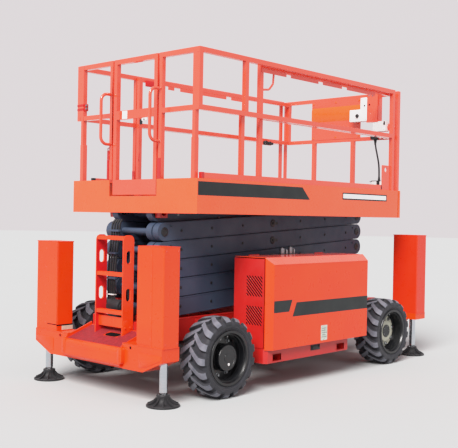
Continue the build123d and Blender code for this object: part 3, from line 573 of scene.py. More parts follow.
# ---------------------------------------------------------------- finishes of the CAD nodes
def dress(name, *mats, bevel=0.002, segments=2):
    """Gives a CAD node its finish, and breaks its sharp edges with modifiers."""
    ob = NODES[name]
    me = ob.data
    for i, m in enumerate(mats):
        if i < len(me.materials):
            me.materials[i] = m
        else:
            me.materials.append(m)
    if bevel:
        w = ob.modifiers.new("weld", "WELD")
        w.merge_threshold = 0.00002
        b = ob.modifiers.new("edge", "BEVEL")
        b.width = bevel
        b.segments = segments
        b.limit_method = "ANGLE"
        b.angle_limit = rad(40)
        b.use_clamp_overlap = True
        b.harden_normals = False
        n = ob.modifiers.new("normals", "WEIGHTED_NORMAL")
        n.mode = "FACE_AREA"
        n.weight = 60
        n.keep_sharp = False


# the darker copy of the orange paint on the chassis, trays, deck and tank paints in their shade; the lighter copies on
# the rails, gate, front panel, fascia, extension deck and skirt paint in their highlights and sheen
DRESS = {
    "chassis_frame": (ORANGE_SHADED, 0.003), "rear_outrigger_beam": (ORANGE, 0.004), "front_outrigger_beam": (ORANGE, 0.004),
    "ladder": (ORANGE, 0.0015), "side_tray_left": (ORANGE_SHADED, 0.001), "side_tray_right": (ORANGE_SHADED, 0.001),
    "tray_cover_left": (ORANGE, 0.0015), "tray_cover_right": (ORANGE, 0.0015),
    "rear_axle": (BLACK, 0.004), "front_axle": (BLACK, 0.003), "steering_cylinder": (BLACK, 0.001),
    "knuckle_left": (BLACK, 0.002), "knuckle_right": (BLACK, 0.002),
    "lower_roller_shaft": (ZINC, 0.001), "upper_roller_shaft": (ZINC, 0.001),
    "lift_cylinder_barrel": (BLACK, 0.001), "lift_cylinder_rod": (CHROME, 0.001),
    "platform_deck": (ORANGE_SHADED, 0.002), "platform_fascia": (ORANGE_LIT, 0.0015),
    "side_rail_left": (ORANGE_SHEEN, 0.004), "side_rail_right": (ORANGE_SHEEN, 0.004), "rear_rails": (ORANGE_SHEEN, 0.004),
    "entry_gate": (ORANGE_SHEEN, 0.0015), "extension_deck": (ORANGE_LIT, 0.0015), "extension_front_skirt": (ORANGE_LIT, 0.003),
    "extension_rails": (ORANGE_SHEEN, 0.003), "front_panel": (ORANGE_SHEEN, 0.001), "control_box": (WHITE, 0.004),
    "engine_block": (ENGINE, 0.01), "hydraulic_tank": (ORANGE_SHADED, 0.015), "fuel_tank": (BLACK, 0.02),
}
for end in ("rear", "front"):
    for _, side in SIDES:
        # the front covers take the darker copy of the paint: painted shade
        DRESS[f"jack_cover_{end}_{side}"] = (ORANGE if end == "rear" else ORANGE_FRONT_SHADED, 0.001)
        DRESS[f"rim_{end}_{side}"] = (RIM, 0.0012)
for i in range(1, 6):
    DRESS[f"scissor_outer_{i}"] = (STACK, 0.003)
    DRESS[f"scissor_inner_{i}"] = (STACK, 0.003)
for node, (mat, bev) in DRESS.items():
    dress(node, mat, bevel=bev)

# top and bevelled shoulder of the tray covers, glossier than their faces and painted lighter: a painted highlight on
# the upward faces
for side in ("left", "right"):
    ob = NODES[f"tray_cover_{side}"]
    ob.data.materials.append(ORANGE_SHEEN)
    for f in ob.data.polygons:
        if (ob.matrix_world.to_3x3() @ f.normal).normalized().z > 0.3:
            f.material_index = len(ob.data.materials) - 1

# inner faces of the ladder's side plates, in a deeper red: painted shade on the faces that sit in their own shade
lad = NODES["ladder"]
lad.data.materials.append(LADDER_SHADE)
middle = sum((lad.matrix_world @ Vector(c)).y for c in lad.bound_box) / 8
for f in lad.data.polygons:
    n = (lad.matrix_world.to_3x3() @ f.normal).normalized()
    c = lad.matrix_world @ f.center
    if abs(n.y) > 0.9 and n.y * (c.y - middle) < 0 and c.z > 0.45:
        f.material_index = len(lad.data.materials) - 1

# ---------------------------------------------------------------- wheels
WHEEL_X = {"rear": -1.131, "front": 1.145}
TYRE_R, TYRE_Y = 0.305, 0.727
LUGS = 17


def top_r(w):
    """Radius of the lug tops at a distance from the middle of the tread."""
    w = abs(w)
    for (w0, r0), (w1, r1) in zip(((0, 0.3046), (0.086, 0.3040), (0.104, 0.2990), (0.118, 0.2900), (0.128, 0.2770)),
                                  ((0.086, 0.3040), (0.104, 0.2990), (0.118, 0.2900), (0.128, 0.2770), (0.131, 0.2700))):
        if w <= w1:
            return r0 + (r1 - r0) * (w - w0) / (w1 - w0)
    return 0.27


CARCASS = [(0.2005, 0.108), (0.2060, 0.1125), (0.2095, 0.1175), (0.2120, 0.1192), (0.2150, 0.1192), (0.2165, 0.1172), (0.2195, 0.1182),
           (0.2210, 0.1225), (0.2240, 0.1232), (0.2260, 0.1212), (0.2300, 0.1232), (0.2320, 0.1258), (0.2350, 0.1262), (0.2368, 0.1246),
           (0.2430, 0.1264), (0.2520, 0.1268), (0.2600, 0.1252), (0.2665, 0.1205), (0.2715, 0.1120), (0.2752, 0.1000), (0.2785, 0.0800), (0.2800, 0.0450), (0.2805, 0.0150)]


def base_r(w):
    w = abs(w)
    prof = [(0.0, 0.2805)] + [(ww, r) for r, ww in reversed(CARCASS[16:])]
    for (w0, r0), (w1, r1) in zip(prof, prof[1:]):
        if w0 <= w <= w1:
            return r0 + (r1 - r0) * (w - w0) / (w1 - w0)
    return 0.258


def tyre(x, t, name, body):
    cy, cz = t * TYRE_Y, TYRE_R
    bm = bmesh.new()
    half = CARCASS
    prof = [(r, t * w) for r, w in half] + [(r, -t * w) for r, w in reversed(half)]
    lathe(bm, prof, (x, cy, cz), (0, 1, 0), seg=LUGS * 6, closed=True)
    mark(bm, 0)

    def at(w, s, r):
        a = s / 0.305
        return Vector((x - r * math.cos(a), cy + w, cz + r * math.sin(a)))

    # a lug's centre line: distance from the tread's middle, lead round the tyre, half width
    line = [(0.1285, 0.000, 0.0285), (0.1180, 0.001, 0.0285), (0.1040, 0.003, 0.0280), (0.0860, 0.010, 0.0270), (0.0640, 0.026, 0.0255),
            (0.0420, 0.045, 0.0240), (0.0200, 0.064, 0.0230), (0.0000, 0.081, 0.0225), (-0.0130, 0.091, 0.0215)]
    pitch = 2 * math.pi * 0.305 / LUGS
    for side in (1, -1):
        for k in range(LUGS):
            s0 = k * pitch + (0 if side == t else pitch / 2)
            loops, tops = [], []
            for w, s, h in line:
                rt, rb = top_r(w), min(base_r(w), top_r(w) - 0.006) - 0.004
                lead = s0 + s
                row = [(-h - 0.0045, rb), (-h - 0.001, rt - 0.0032), (-h + 0.0022, rt), (0.0, rt + 0.0003), (h - 0.0022, rt), (h + 0.001, rt - 0.0032), (h + 0.0045, rb)]
                loops.append([at(side * w, lead + ds, min(r, 0.305)) for ds, r in row])
            rows = [[bm.verts.new(p) for p in loop] for loop in loops]
            for a, b in zip(rows, rows[1:]):
                for i in range(6):
                    f = bm.faces.new((a[i], a[i + 1], b[i + 1], b[i]))
                    if i in (2, 3):
                        tops.append(f)
                bm.faces.new((a[6], a[0], b[0], b[6]))
            bm.faces.new(rows[0][::-1])
            bm.faces.new(rows[-1])
            mark(bm, 0)
            # the lug tops take the lighter rubber: a painted highlight
            for f in tops:
                f.material_index = 1
    return piece(name, bm, [RUBBER, RUBBER_SHEEN], body, replaces=[f"tyre_{name.split('_', 1)[1].rsplit('_', 1)[0]}"], sharp=30)


for end in ("rear", "front"):
    for t, side in SIDES:
        tyre(WHEEL_X[end], t, f"tread_{end}_{side}_tyre", f"wheel_{end}_{side}")


def wheel_trim(end, t, side):
    """Nuts, flange rolls, hub bolts and the valve of one wheel."""
    x, z, body = WHEEL_X[end], TYRE_R, f"wheel_{end}_{side}"
    out = Vector((0, t, 0))

    def at(r, a, y):
        return Vector((x + r * math.cos(a), t * y, z + r * math.sin(a)))

    bm = bmesh.new()
    # rolled lips of the rim, outboard and inboard
    for y in (TYRE_Y + 0.1215, TYRE_Y - 0.1215):
        lathe(bm, [(0.2045 + 0.0042 * math.cos(a), 0.0042 * math.sin(a)) for a in [2 * math.pi * k / 8 for k in range(8)]],
              (x, t * y, z), (0, t, 0), seg=64, closed=True)
    # step rings of the barrel, inside the dish
    for y, r in ((0.832, 0.1795), (0.786, 0.1795)):
        lathe(bm, [(r, -0.003), (r - 0.0035, -0.002), (r - 0.0035, 0.002), (r, 0.003)], (x, t * y, z), (0, t, 0), seg=64, closed=True)
    mark(bm, 0)
    nuts = 9 if end == "rear" else 8
    if end == "rear":
        for k in range(nuts):
            bolt(bm, at(0.138, 2 * math.pi * k / nuts + 0.3, 0.7495), out, 0.012, h=0.014)
        mark(bm, 2)
        # planetary hub: stepped drum, bolt ring, level plug
        lathe(bm, [(0.1032, 0.000), (0.1032, 0.030), (0.1000, 0.034), (0.1000, 0.062)], (x, t * 0.752, z), (0, t, 0), seg=48)
        lathe(bm, [(0.0975, 0.000), (0.0960, 0.0022), (0.0800, 0.0022), (0.0785, 0.0)], (x, t * 0.8262, z), (0, t, 0), seg=48, closed=True)
        lathe(bm, [(0.0350, 0.000), (0.0340, 0.0026), (0.0120, 0.0034), (0.0, 0.0034)], (x, t * 0.8262, z), (0, t, 0), seg=32)
        mark(bm, 0)
        for k in range(10):
            bolt(bm, at(0.088, 2 * math.pi * k / 10, 0.8274), out, 0.0055, washer=False, h=0.002)
        mark(bm, 0)
        lathe(bm, [(0.0105, 0.000), (0.0100, 0.0022), (0.0, 0.0026)], at(0.052, rad(-75), 0.8265), (0, t, 0), seg=16)
        mark(bm, 3)
    else:
        # cream hub flange with its studs and nuts
        lathe(bm, [(0.0985, 0.0), (0.0985, 0.004), (0.1480, 0.004), (0.1500, 0.002), (0.1500, 0.0)], (x, t * 0.7498, z), (0, t, 0), seg=48, closed=True)
        lathe(bm, [(0.0980, 0.000), (0.0980, 0.026), (0.0930, 0.0285), (0.0, 0.0285)], (x, t * 0.7500, z), (0, t, 0), seg=48)
        mark(bm, 1)
        for k in range(nuts):
            a = 2 * math.pi * k / nuts + 0.2
            bolt(bm, at(0.127, a, 0.7538), out, 0.0125, h=0.013)
            cyl(bm, at(0.127, a, 0.760), at(0.127, a, 0.775), 0.0062, 12, 0.001)
        mark(bm, 2)
        lathe(bm, [(0.0600, 0.000), (0.0590, 0.004), (0.0300, 0.0052), (0.0, 0.0052)], (x, t * 0.7784, z), (0, t, 0), seg=32)
        mark(bm, 0)
        for k in range(5):
            bolt(bm, at(0.046, 2 * math.pi * k / 5, 0.7828), out, 0.0045, washer=False)
        mark(bm, 2)
    # hand holes in the disc, as dark discs of painted shade, and the valve
    for k in range(4):
        a = 2 * math.pi * k / 4 + 0.75
        lathe(bm, [(0.0105, 0.000), (0.0105, 0.0016), (0.0, 0.0016)], at(0.161, a, 0.7496), (0, t, 0), seg=16)
    mark(bm, 4)
    a = rad(82)
    cyl(bm, at(0.174, a, 0.752), at(0.160, a, 0.792), 0.0048, 12, 0.001)
    cyl(bm, at(0.160, a, 0.790), at(0.157, a, 0.802), 0.0062, 12, 0.001)
    mark(bm, 2)
    piece(f"wheel_trim_{end}_{side}", bm, [RIM, CREAM, ZINC, WHITE, SHADOW_FILL], body)


for end in ("rear", "front"):
    for t, side in SIDES:
        wheel_trim(end, t, side)

# ---------------------------------------------------------------- outrigger legs
JACK_X = {"rear": -1.658, "front": 1.778}
JACK_Y = 0.690


def leg(end, t, side):
    x, y, body = JACK_X[end], t * JACK_Y, f"leg_{end}_{side}"
    node = f"outrigger_leg_{end}_{side}"
    bm = bmesh.new()
    lathe(bm, [(0.0, 0.078), (0.0245, 0.078), (0.0245, 0.094), (0.0300, 0.100), (0.0300, 0.846), (0.0270, 0.850), (0.0, 0.850)], (x, y, 0), (0, 0, 1), seg=40)
    rod = piece(f"leg_rod_{end}_{side}", bm, CHROME, body, replaces=[node])
    bm = bmesh.new()
    lathe(bm, [(0.0, 0.0015), (0.110, 0.0015), (0.114, 0.0), (0.1205, 0.0), (0.1225, 0.003), (0.1225, 0.011), (0.1195, 0.0145), (0.112, 0.0155),
               (0.098, 0.0135), (0.072, 0.0205), (0.056, 0.0330), (0.0490, 0.0480), (0.0470, 0.0600), (0.0490, 0.0630), (0.0490, 0.0800), (0.0455, 0.0860),
               (0.0330, 0.0890), (0.0305, 0.0800), (0.0, 0.0800)], (x, y, 0), (0, 0, 1), seg=64)
    ribs = 10
    for k in range(ribs):
        a = 2 * math.pi * k / ribs + 0.2
        m = Matrix.Translation((x, y, 0)) @ Matrix.Rotation(a, 4, "Z")
        pts = [(0.040, 0.014), (0.1165, 0.013), (0.1165, 0.022), (0.100, 0.0265), (0.070, 0.0430), (0.0515, 0.0660), (0.040, 0.066)]
        low = [bm.verts.new(m @ Vector((px, -0.0042, pz))) for px, pz in pts]
        high = [bm.verts.new(m @ Vector((px, 0.0042, pz))) for px, pz in pts]
        fs = [bm.faces.new(low), bm.faces.new(high[::-1])]
        for i in range(len(pts)):
            j = (i + 1) % len(pts)
            fs.append(bm.faces.new((low[j], low[i], high[i], high[j])))
        bmesh.ops.bevel(bm, geom=list({e for f in fs for e in f.edges}), offset=0.0014, segments=1, affect="EDGES", clamp_overlap=True)
    mark(bm, 0)
    for k in range(5):
        a = 2 * math.pi * k / 5 + 0.5
        bolt(bm, (x + 0.0395 * math.cos(a), y + 0.0395 * math.sin(a), 0.0870), (0, 0, 1), 0.0055, h=0.003, washer=False)
    mark(bm, 1)
    piece(f"leg_pad_{end}_{side}", bm, [RUBBER_SOFT, ZINC], body, replaces=[node], sharp=28)


for end in ("rear", "front"):
    for t, side in SIDES:
        leg(end, t, side)

# ---------------------------------------------------------------- outrigger beams and jack covers
BEAM = {"rear": dict(face=-1.750, out=-1.745, inn=-1.575, heel=0.325, s=-1), "front": dict(face=1.876, out=1.898, inn=1.716, heel=0.365, s=1)}
COVERS = {"rear": (-1.740, -1.580, 0.424, 1.144), "front": (1.722, 1.897, 0.424, 1.212)}


def jack_trim(end, t, side):
    x0, x1, z0, z1 = COVERS[end]
    outer = x0 if end == "rear" else x1
    s = BEAM[end]["s"]
    bm = bmesh.new()
    # lapped panel on the outboard face, cap plate
    box(bm, outer - 0.0002, outer + s * 0.0016, t * 0.4865, t * 0.646, z0 + 0.012, z1 - 0.010, 0.0006, 1)
    box(bm, x0 - 0.001, x1 + 0.001, t * 0.484, t * 0.765, z1 - 0.004, z1 + 0.0015, 0.0014)
    mark(bm, 0)
    # rivets and screws take the lighter, pinker copy of the paint: painted highlight
    for k in range(5):
        z = z0 + 0.06 + k * (z1 - z0 - 0.12) / 4
        cyl(bm, (outer, t * 0.636, z), (outer + s * 0.0026, t * 0.636, z), 0.0048, 12, 0.0012)
    # fixing screws on the outer side face
    for xx in (x0 + 0.022, x1 - 0.022):
        for z in (z0 + 0.03, z1 - 0.03):
            cyl(bm, (xx, t * 0.764, z), (xx, t * 0.7668, z), 0.0055, 12, 0.0012)
    mark(bm, 1)
    # weld beads round the foot
    weld(bm, (x0, t * 0.766, z0), (x1, t * 0.766, z0), 0.0035)
    weld(bm, (outer + s * 0.002, t * 0.485, z0), (outer + s * 0.002, t * 0.764, z0), 0.0035)
    mark(bm, 0)
    if (end, side) == ("rear", "left"):
        # gap under the inner corner of the cover, as dark strips of painted shadow, and the pale plate that shows below
        # it
        box(bm, x0 - 0.0024, x0 - 0.0004, 0.486, 0.610, 0.4700, 0.4775, 0)
        box(bm, x0 - 0.0004, x1 - 0.004, 0.4826, 0.4846, 0.4640, 0.4740, 0)
        mark(bm, 2)
        box(bm, x0 + 0.050, x1 - 0.002, 0.4822, 0.4846, 0.4290, 0.4625, 0.0004, 1)
        mark(bm, 3)
    # on the front covers the trim takes the darker copy of the paint: painted shade
    piece(f"jack_cover_trim_{end}_{side}", bm, [ORANGE if end == "rear" else ORANGE_FRONT_SHADED, ORANGE_SHEEN, SHADOW_FILL, CREAM], "chassis")


for end in ("rear", "front"):
    for t, side in SIDES:
        jack_trim(end, t, side)


def outline_yz(bm, pts, x0, x1, s, bev):
    """A plate on a face that looks along X: outline in (y, z), from x0 out to x1, with its outer rim rounded."""
    n = len(pts)
    cy, cz = sum(p[0] for p in pts) / n, sum(p[1] for p in pts) / n

    def ring(x, d):
        out = []
        for y, z in pts:
            r = math.hypot(y - cy, z - cz)
            k = (r - d) / r
            out.append(bm.verts.new((x, cy + (y - cy) * k, cz + (z - cz) * k)))
        return out

    rows = [ring(x0, 0), ring(x1 - s * bev, 0), ring(x1 - s * bev * 0.3, bev * 0.3), ring(x1, bev)]
    for A, B in zip(rows, rows[1:]):
        for i in range(n):
            j = (i + 1) % n
            bm.faces.new((A[i], A[j], B[j], B[i]))
    bm.faces.new(rows[-1])


def beam_trim(end):
    b = BEAM[end]
    s, face, out = b["s"], b["face"], b["out"]
    bm = bmesh.new()
    if end == "rear":
        for t in (1, -1):
            # end caps of the rolled bar
            outline_yz(bm, capsule(t * 0.338, 0.330, 0.124, 0.050, math.pi / 2, 8), -1.742, -1.7802, -1, 0.005)
            outline_yz(bm, capsule(t * 0.338, 0.330, 0.092, 0.024, math.pi / 2, 8), -1.779, -1.7828, -1, 0.002)
            # doubler on the jack box, and the fold line over its heel
            outline_yz(bm, rounded([(t * 0.516, 0.262), (t * 0.600, 0.276), (t * 0.756, 0.340), (t * 0.756, 0.372), (t * 0.516, 0.372)], 0.010), -1.744, -1.7478, -1, 0.0016)
            weld(bm, (-1.7455, t * 0.345, 0.4225), (-1.7455, t * 0.484, 0.4235), 0.003)
            weld(bm, (-1.7455, t * 0.487, 0.4225), (-1.7455, t * 0.760, 0.4225), 0.003)
            weld(bm, (-1.752, t * 0.3435, 0.398), (-1.600, t * 0.3435, 0.4245), 0.003)
        # pressed line along the bar, under its rolled edge
        box(bm, -1.7794, -1.7770, -0.310, 0.310, 0.334, 0.338, 0.001, 1)
        box(bm, -1.7790, -1.7770, -0.310, 0.310, 0.272, 0.275, 0.001, 1)
    else:
        for t in (1, -1):
            outline_yz(bm, capsule(t * 0.262, 0.330, 0.108, 0.040, math.pi / 2, 8), 1.875, 1.8835, 1, 0.004)
            weld(bm, (out + s * 0.001, t * 0.305, 0.240), (out + s * 0.001, t * 0.305, 0.420), 0.0035)
            weld(bm, (out + s * 0.0005, t * 0.485, 0.4235), (out + s * 0.0005, t * 0.310, 0.4235), 0.003)
    hx, hy, hz = (-1.745, 0.427, 0.398) if end == "rear" else (out, 0.400, 0.372)
    for t in (1, -1):
        lathe(bm, [(0.0150, 0.0), (0.0150, 0.002), (0.0118, 0.0024), (0.0115, 0.0008)], (hx, t * hy, hz), (s, 0, 0), seg=24, closed=True)
    mark(bm, 0)
    # holes in the beam face, as dark plates of painted shade
    for t in (1, -1):
        outline_yz(bm, capsule(t * hy, hz, 0.027, 0.019, math.pi / 2, 8), hx - s * 0.001, hx + s * 0.0014, s, 0.0002)
    mark(bm, 1)
    piece(f"{end}_beam_trim", bm, [ORANGE, SHADOW_FILL], "chassis")


beam_trim("rear")
beam_trim("front")

# ---------------------------------------------------------------- ladder and step
def ladder_trim():
    bm = bmesh.new()
    # grit mat on the sloping step plate, in four strips round its drain slot
    du, dn = Vector((0.9438, 0, 0.3303)), Vector((-0.3303, 0, 0.9438))
    at = Vector((-1.757, 0, 0.386))
    m = Matrix(((du.x, 0, dn.x, at.x), (0, 1, 0, at.y), (du.z, 0, dn.z, at.z), (0, 0, 0, 1)))
    for a0, a1, y0, y1 in ((0.008, 0.132, -0.328, 0.328), (0.200, 0.262, -0.328, 0.328), (0.132, 0.200, -0.328, -0.134), (0.132, 0.200, 0.034, 0.328)):
        box(bm, a0, a1, y0, y1, -0.0005, 0.0022, 0, m=m)
    mark(bm, 0)
    # the drain slot, as a dark face of painted shade
    low = [m @ Vector((0.1665 + b, -0.050 + a, 0.0004)) for a, b in capsule(0, 0, 0.160, 0.060)]
    bm.faces.new([bm.verts.new(p) for p in low])
    mark(bm, 1)
    piece("step_mat", bm, [GRIT_RED, SHADOW_FILL], "chassis")

    bm = bmesh.new()
    # ribs of the rungs' treads, rolled rims of the side plates' holes
    for z in (0.612, 0.906, 1.186):
        for k in range(5):
            x = -1.597 + k * 0.0072
            box(bm, x, x + 0.003, -0.150, 0.150, z + 0.0135, z + 0.0160, 0.0008, 1)
    for t in (1, -1):
        for z in (1.040, 0.751):
            inner = capsule(-1.553, z, 0.100, 0.046, math.pi / 2, 8)
            outer = capsule(-1.553, z, 0.109, 0.055, math.pi / 2, 8)
            for yy, dy in ((t * 0.1672, t * 0.0016), (t * 0.1568, -t * 0.0016)):
                n = len(inner)
                a = [bm.verts.new((p[0], yy, p[1])) for p in inner]
                b = [bm.verts.new(((i[0] + o[0]) / 2, yy + dy, (i[1] + o[1]) / 2)) for i, o in zip(inner, outer)]
                c = [bm.verts.new((p[0], yy, p[1])) for p in outer]
                for A, B in ((a, b), (b, c)):
                    for i in range(n):
                        j = (i + 1) % n
                        bm.faces.new((A[i], A[j], B[j], B[i]))
        weld(bm, (-1.604, t * 0.168, 0.4410), (-1.502, t * 0.168, 0.4765), 0.0035)
        # foot brackets of the side plates
        prism(bm, rounded([(-1.602, 0.444), (-1.504, 0.478), (-1.504, 0.512), (-1.558, 0.556), (-1.602, 0.556)], 0.012), "xz", t * 0.166, t * 0.172, 0.0015)
        for x in (-1.585, -1.530):
            bolt(bm, (x, t * 0.172, 0.500), (0, t, 0), 0.008)
    mark(bm, 0)
    piece("ladder_trim", bm, [ORANGE], "chassis")

    # hoses and fittings in the space behind the ladder
    bm = bmesh.new()
    cyl(bm, (-1.452, 0.205, 0.640), (-1.452, 0.020, 0.640), 0.052, 28, 0.008)
    cyl(bm, (-1.452, 0.210, 0.640), (-1.452, 0.015, 0.640), 0.030, 24, 0.004)
    box(bm, -1.480, -1.424, 0.060, 0.160, 0.440, 0.600, 0.004)
    cyl(bm, (-1.450, -0.030, 0.612), (-1.450, -0.120, 0.612), 0.036, 24, 0.006)
    box(bm, -1.470, -1.430, -0.110, -0.050, 0.440, 0.590, 0.004)
    for k, y in enumerate((0.190, 0.165, 0.140, 0.115)):
        tube(bm, bent([(-1.452, y, 0.660), (-1.458, y, 0.900), (-1.462 + 0.004 * k, y - 0.02, 1.080), (-1.462 + 0.004 * k, y - 0.05, 1.300), (-1.440, y - 0.06, 1.330)], 0.05), 0.0085, 10)
    for k, y in enumerate((-0.060, -0.085)):
        tube(bm, bent([(-1.450, y, 0.630), (-1.462, y, 0.820), (-1.462, y - 0.02, 1.120), (-1.440, y - 0.02, 1.150)], 0.05), 0.0075, 10)
    mark(bm, 0)
    for z in (0.860, 1.060, 1.240):
        box(bm, -1.476, -1.444, 0.055 if z > 1.1 else 0.085, 0.205, z - 0.008, z + 0.008, 0.003)
    mark(bm, 1)
    # white ties
    box(bm, -1.476, -1.440, 0.104, 0.202, 0.726, 0.734, 0.002)
    mark(bm, 2)
    piece("rear_hoses", bm, [RUBBER_SOFT, STACK, WHITE], "chassis")


ladder_trim()

# ---------------------------------------------------------------- side trays
TRAY_X0, TRAY_X1, TRAY_OUT, TRAY_Z0, TRAY_Z1 = -0.733, 0.627, 0.900, 0.328, 1.050


def vent_panel(t, side):
    """Sheet in the darker copy of the orange paint (painted shade), with two groups of slanted slots cut through it,
    over a dark sheet of painted shade for the recess.
    """
    y0, y1, z0, z1 = 0.524, 0.8375, 0.335, 1.036
    curve = bpy.data.curves.new("vent", "CURVE")
    curve.dimensions = "2D"
    curve.fill_mode = "BOTH"
    curve.extrude = 0.0008
    curve.resolution_u = 1
    curve.bevel_depth = 0.0003

    def loop(pts):
        sp = curve.splines.new("POLY")
        sp.points.add(len(pts) - 1)
        for p, q in zip(sp.points, pts):
            p.co = (q[0], q[1], 0, 1)
        sp.use_cyclic_u = True

    loop(rounded([(y0, z0), (y1, z0), (y1, z1), (y0, z1)], 0.008))
    ya, yb, slope, pitch, width = 0.652, 0.826, -0.96, 0.0290, 0.0118
    for lo, hi in ((0.733, 0.907), (0.505, 0.667)):
        # parallel slots clipped to the group's rectangle
        za, zb = lo + 0.005, hi - 0.005
        k = -12
        while k < 12:
            c = (ya + yb) / 2 + k * pitch
            cz = (za + zb) / 2
            k += 1
            u0, u1 = ya + 0.004 - c, yb - 0.004 - c
            v0, v1 = (zb - cz) / slope, (za - cz) / slope
            a, b = max(u0, min(v0, v1)), min(u1, max(v0, v1))
            length = (b - a) * math.hypot(1, slope)
            if length < 0.020:
                continue
            m = (a + b) / 2
            loop(capsule(c + m, cz + m * slope, length, width, math.atan2(slope, 1), 4))
    ob = bpy.data.objects.new("vent_tmp", curve)
    bpy.context.scene.collection.objects.link(ob)
    bpy.context.view_layer.update()
    me = bpy.data.meshes.new_from_object(ob.evaluated_get(bpy.context.evaluated_depsgraph_get()))
    bpy.data.objects.remove(ob)
    bpy.data.curves.remove(curve)
    bm = bmesh.new()
    bm.from_mesh(me)
    bpy.data.meshes.remove(me)
    for v in bm.verts:
        a, b, c = v.co
        v.co = Vector((TRAY_X0 - 0.0028 - c, t * a, b))
    bmesh.ops.remove_doubles(bm, verts=bm.verts, dist=0.00001)
    mark(bm, 0)
    # painted shade: dark sheets behind the slots, for the shaded recess
    for lo, hi in ((0.733, 0.907), (0.505, 0.667)):
        box(bm, TRAY_X0 - 0.0016, TRAY_X0 - 0.0004, t * (ya - 0.002), t * (yb + 0.002), lo - 0.002, hi + 0.002, 0)
    mark(bm, 1)
    for y, z in ((y0 + 0.014, z0 + 0.016), (y1 - 0.012, z0 + 0.016), (y0 + 0.014, z1 - 0.016), (y1 - 0.012, z1 - 0.016), (y0 + 0.014, 0.695), (y1 - 0.010, 0.695)):
        cyl(bm, (TRAY_X0 - 0.003, t * y, z), (TRAY_X0 - 0.0058, t * y, z), 0.0052, 12, 0.0012)
    mark(bm, 0)
    piece(f"vent_panel_{side}", bm, [ORANGE_SHADED, SHADOW_FILL], "chassis")


for t, side in SIDES:
    vent_panel(t, side)


def cover_trim(t, side):
    body = f"tray_cover_{side}"
    yf = TRAY_OUT
    # plain stripe in two lengths with slanted ends
    bm = bmesh.new()
    for pts in ([(-0.684, 0.615), (-0.492, 0.615), (-0.452, 0.709), (-0.684, 0.709)], [(-0.448, 0.572), (0.6265, 0.568), (0.6265, 0.681), (-0.398, 0.684)]):
        prism(bm, pts, "xz", t * (yf - 0.0005), t * (yf + 0.0007), 0)
    piece(f"cover_stripe_{side}", bm, [BAND], body)

    bm = bmesh.new()
    # blank plate on the outer face
    prism(bm, rounded([(-0.061, 0.342), (0.028, 0.342), (0.028, 0.468), (-0.061, 0.468)], 0.004), "xz", t * (yf - 0.0003), t * (yf + 0.0012), 0.0004, 1)
    mark(bm, 0)
    for z in (0.352, 0.458):
        cyl(bm, (-0.0165, t * (yf + 0.001), z), (-0.0165, t * (yf + 0.0022), z), 0.0022, 10, 0.0004)
    for k in range(5):
        box(bm, -0.050, 0.016 - 0.012 * (k % 2), t * (yf + 0.0011), t * (yf + 0.0016), 0.368 + k * 0.018, 0.372 + k * 0.018, 0)
    mark(bm, 1)
    piece(f"cover_plate_{side}", bm, [GREEN, ENGINE], body)

    bm = bmesh.new()
    # returned hem along the lower edge, fold line of the bevel
    box(bm, TRAY_X0 + 0.050, TRAY_X1 - 0.001, t * (yf - 0.010), t * (yf - 0.0004), 0.3225, 0.3275, 0.002)
    box(bm, TRAY_X0 + 0.060, TRAY_X1 - 0.004, t * (yf + 0.0), t * (yf + 0.0016), 0.990, 0.9935, 0.0006, 1)
    mark(bm, 0)
    piece(f"cover_hems_{side}", bm, [ORANGE], body)


for t, side in SIDES:
    cover_trim(t, side)


def tray_trim(t, side):
    bm = bmesh.new()
    # pressure filter and test ports on the tray's inner edge, and the cover's hinge blocks
    box(bm, -0.130, 0.080, t * 0.490, t * 0.514, 1.030, 1.056, 0.003)
    mark(bm, 0)
    for x, w, h in ((-0.108, 0.046, 1.100), (-0.050, 0.030, 1.086), (0.006, 0.040, 1.108), (0.052, 0.020, 1.092)):
        box(bm, x - w / 2, x + w / 2, t * 0.492, t * 0.514, 1.050, h, 0.004)
        cyl(bm, (x, t * 0.503, h - 0.002), (x, t * 0.503, h + 0.006), min(w * 0.28, 0.009), 16, 0.001)
    mark(bm, 1)
    piece(f"tray_hardware_{side}", bm, [PLASTIC, ZINC], "chassis")

    bm = bmesh.new()
    # rims of the fork pockets, in the darker copy of the orange paint: painted shade
    for x0, x1 in ((-0.645, -0.540), (0.221, 0.330)):
        for xa, xb, za, zb in ((x0 - 0.005, x0, 0.224, 0.288), (x1, x1 + 0.005, 0.224, 0.288), (x0 - 0.005, x1 + 0.005, 0.283, 0.288), (x0 - 0.005, x1 + 0.005, 0.224, 0.229)):
            box(bm, xa, xb, t * 0.850, t * 0.8645, za, zb, 0.0015)
    mark(bm, 0)
    # backs of the fork pockets, as dark sheets of painted shade
    for x0, x1 in ((-0.645, -0.540), (0.221, 0.330)):
        box(bm, x0, x1, t * 0.536, t * 0.541, 0.229, 0.283, 0)
    mark(bm, 1)
    # draw latch of the cover, on the base's face
    box(bm, -0.149, -0.023, t * 0.8615, t * 0.8655, 0.262, 0.306, 0.003)
    box(bm, -0.136, -0.060, t * 0.8645, t * 0.8715, 0.270, 0.298, 0.004)
    tube(bm, bent([(-0.062, t * 0.868, 0.284), (-0.036, t * 0.869, 0.284), (-0.036, t * 0.869, 0.306)], 0.006), 0.0035, 8)
    mark(bm, 2)
    piece(f"tray_base_trim_{side}", bm, [ORANGE_SHADED, SHADOW_FILL, PLASTIC], "chassis")


for t, side in SIDES:
    tray_trim(t, side)

# ---------------------------------------------------------------- scissor stack
ARM_L, PITCH, ARM_Z0, REAR_PIN = 2.630, 0.150, 0.640, -1.317
SN = PITCH / ARM_L
CS = math.sqrt(1 - SN * SN)
FRONT_PIN = REAR_PIN + ARM_L * CS
MID = REAR_PIN + ARM_L / 2 * CS


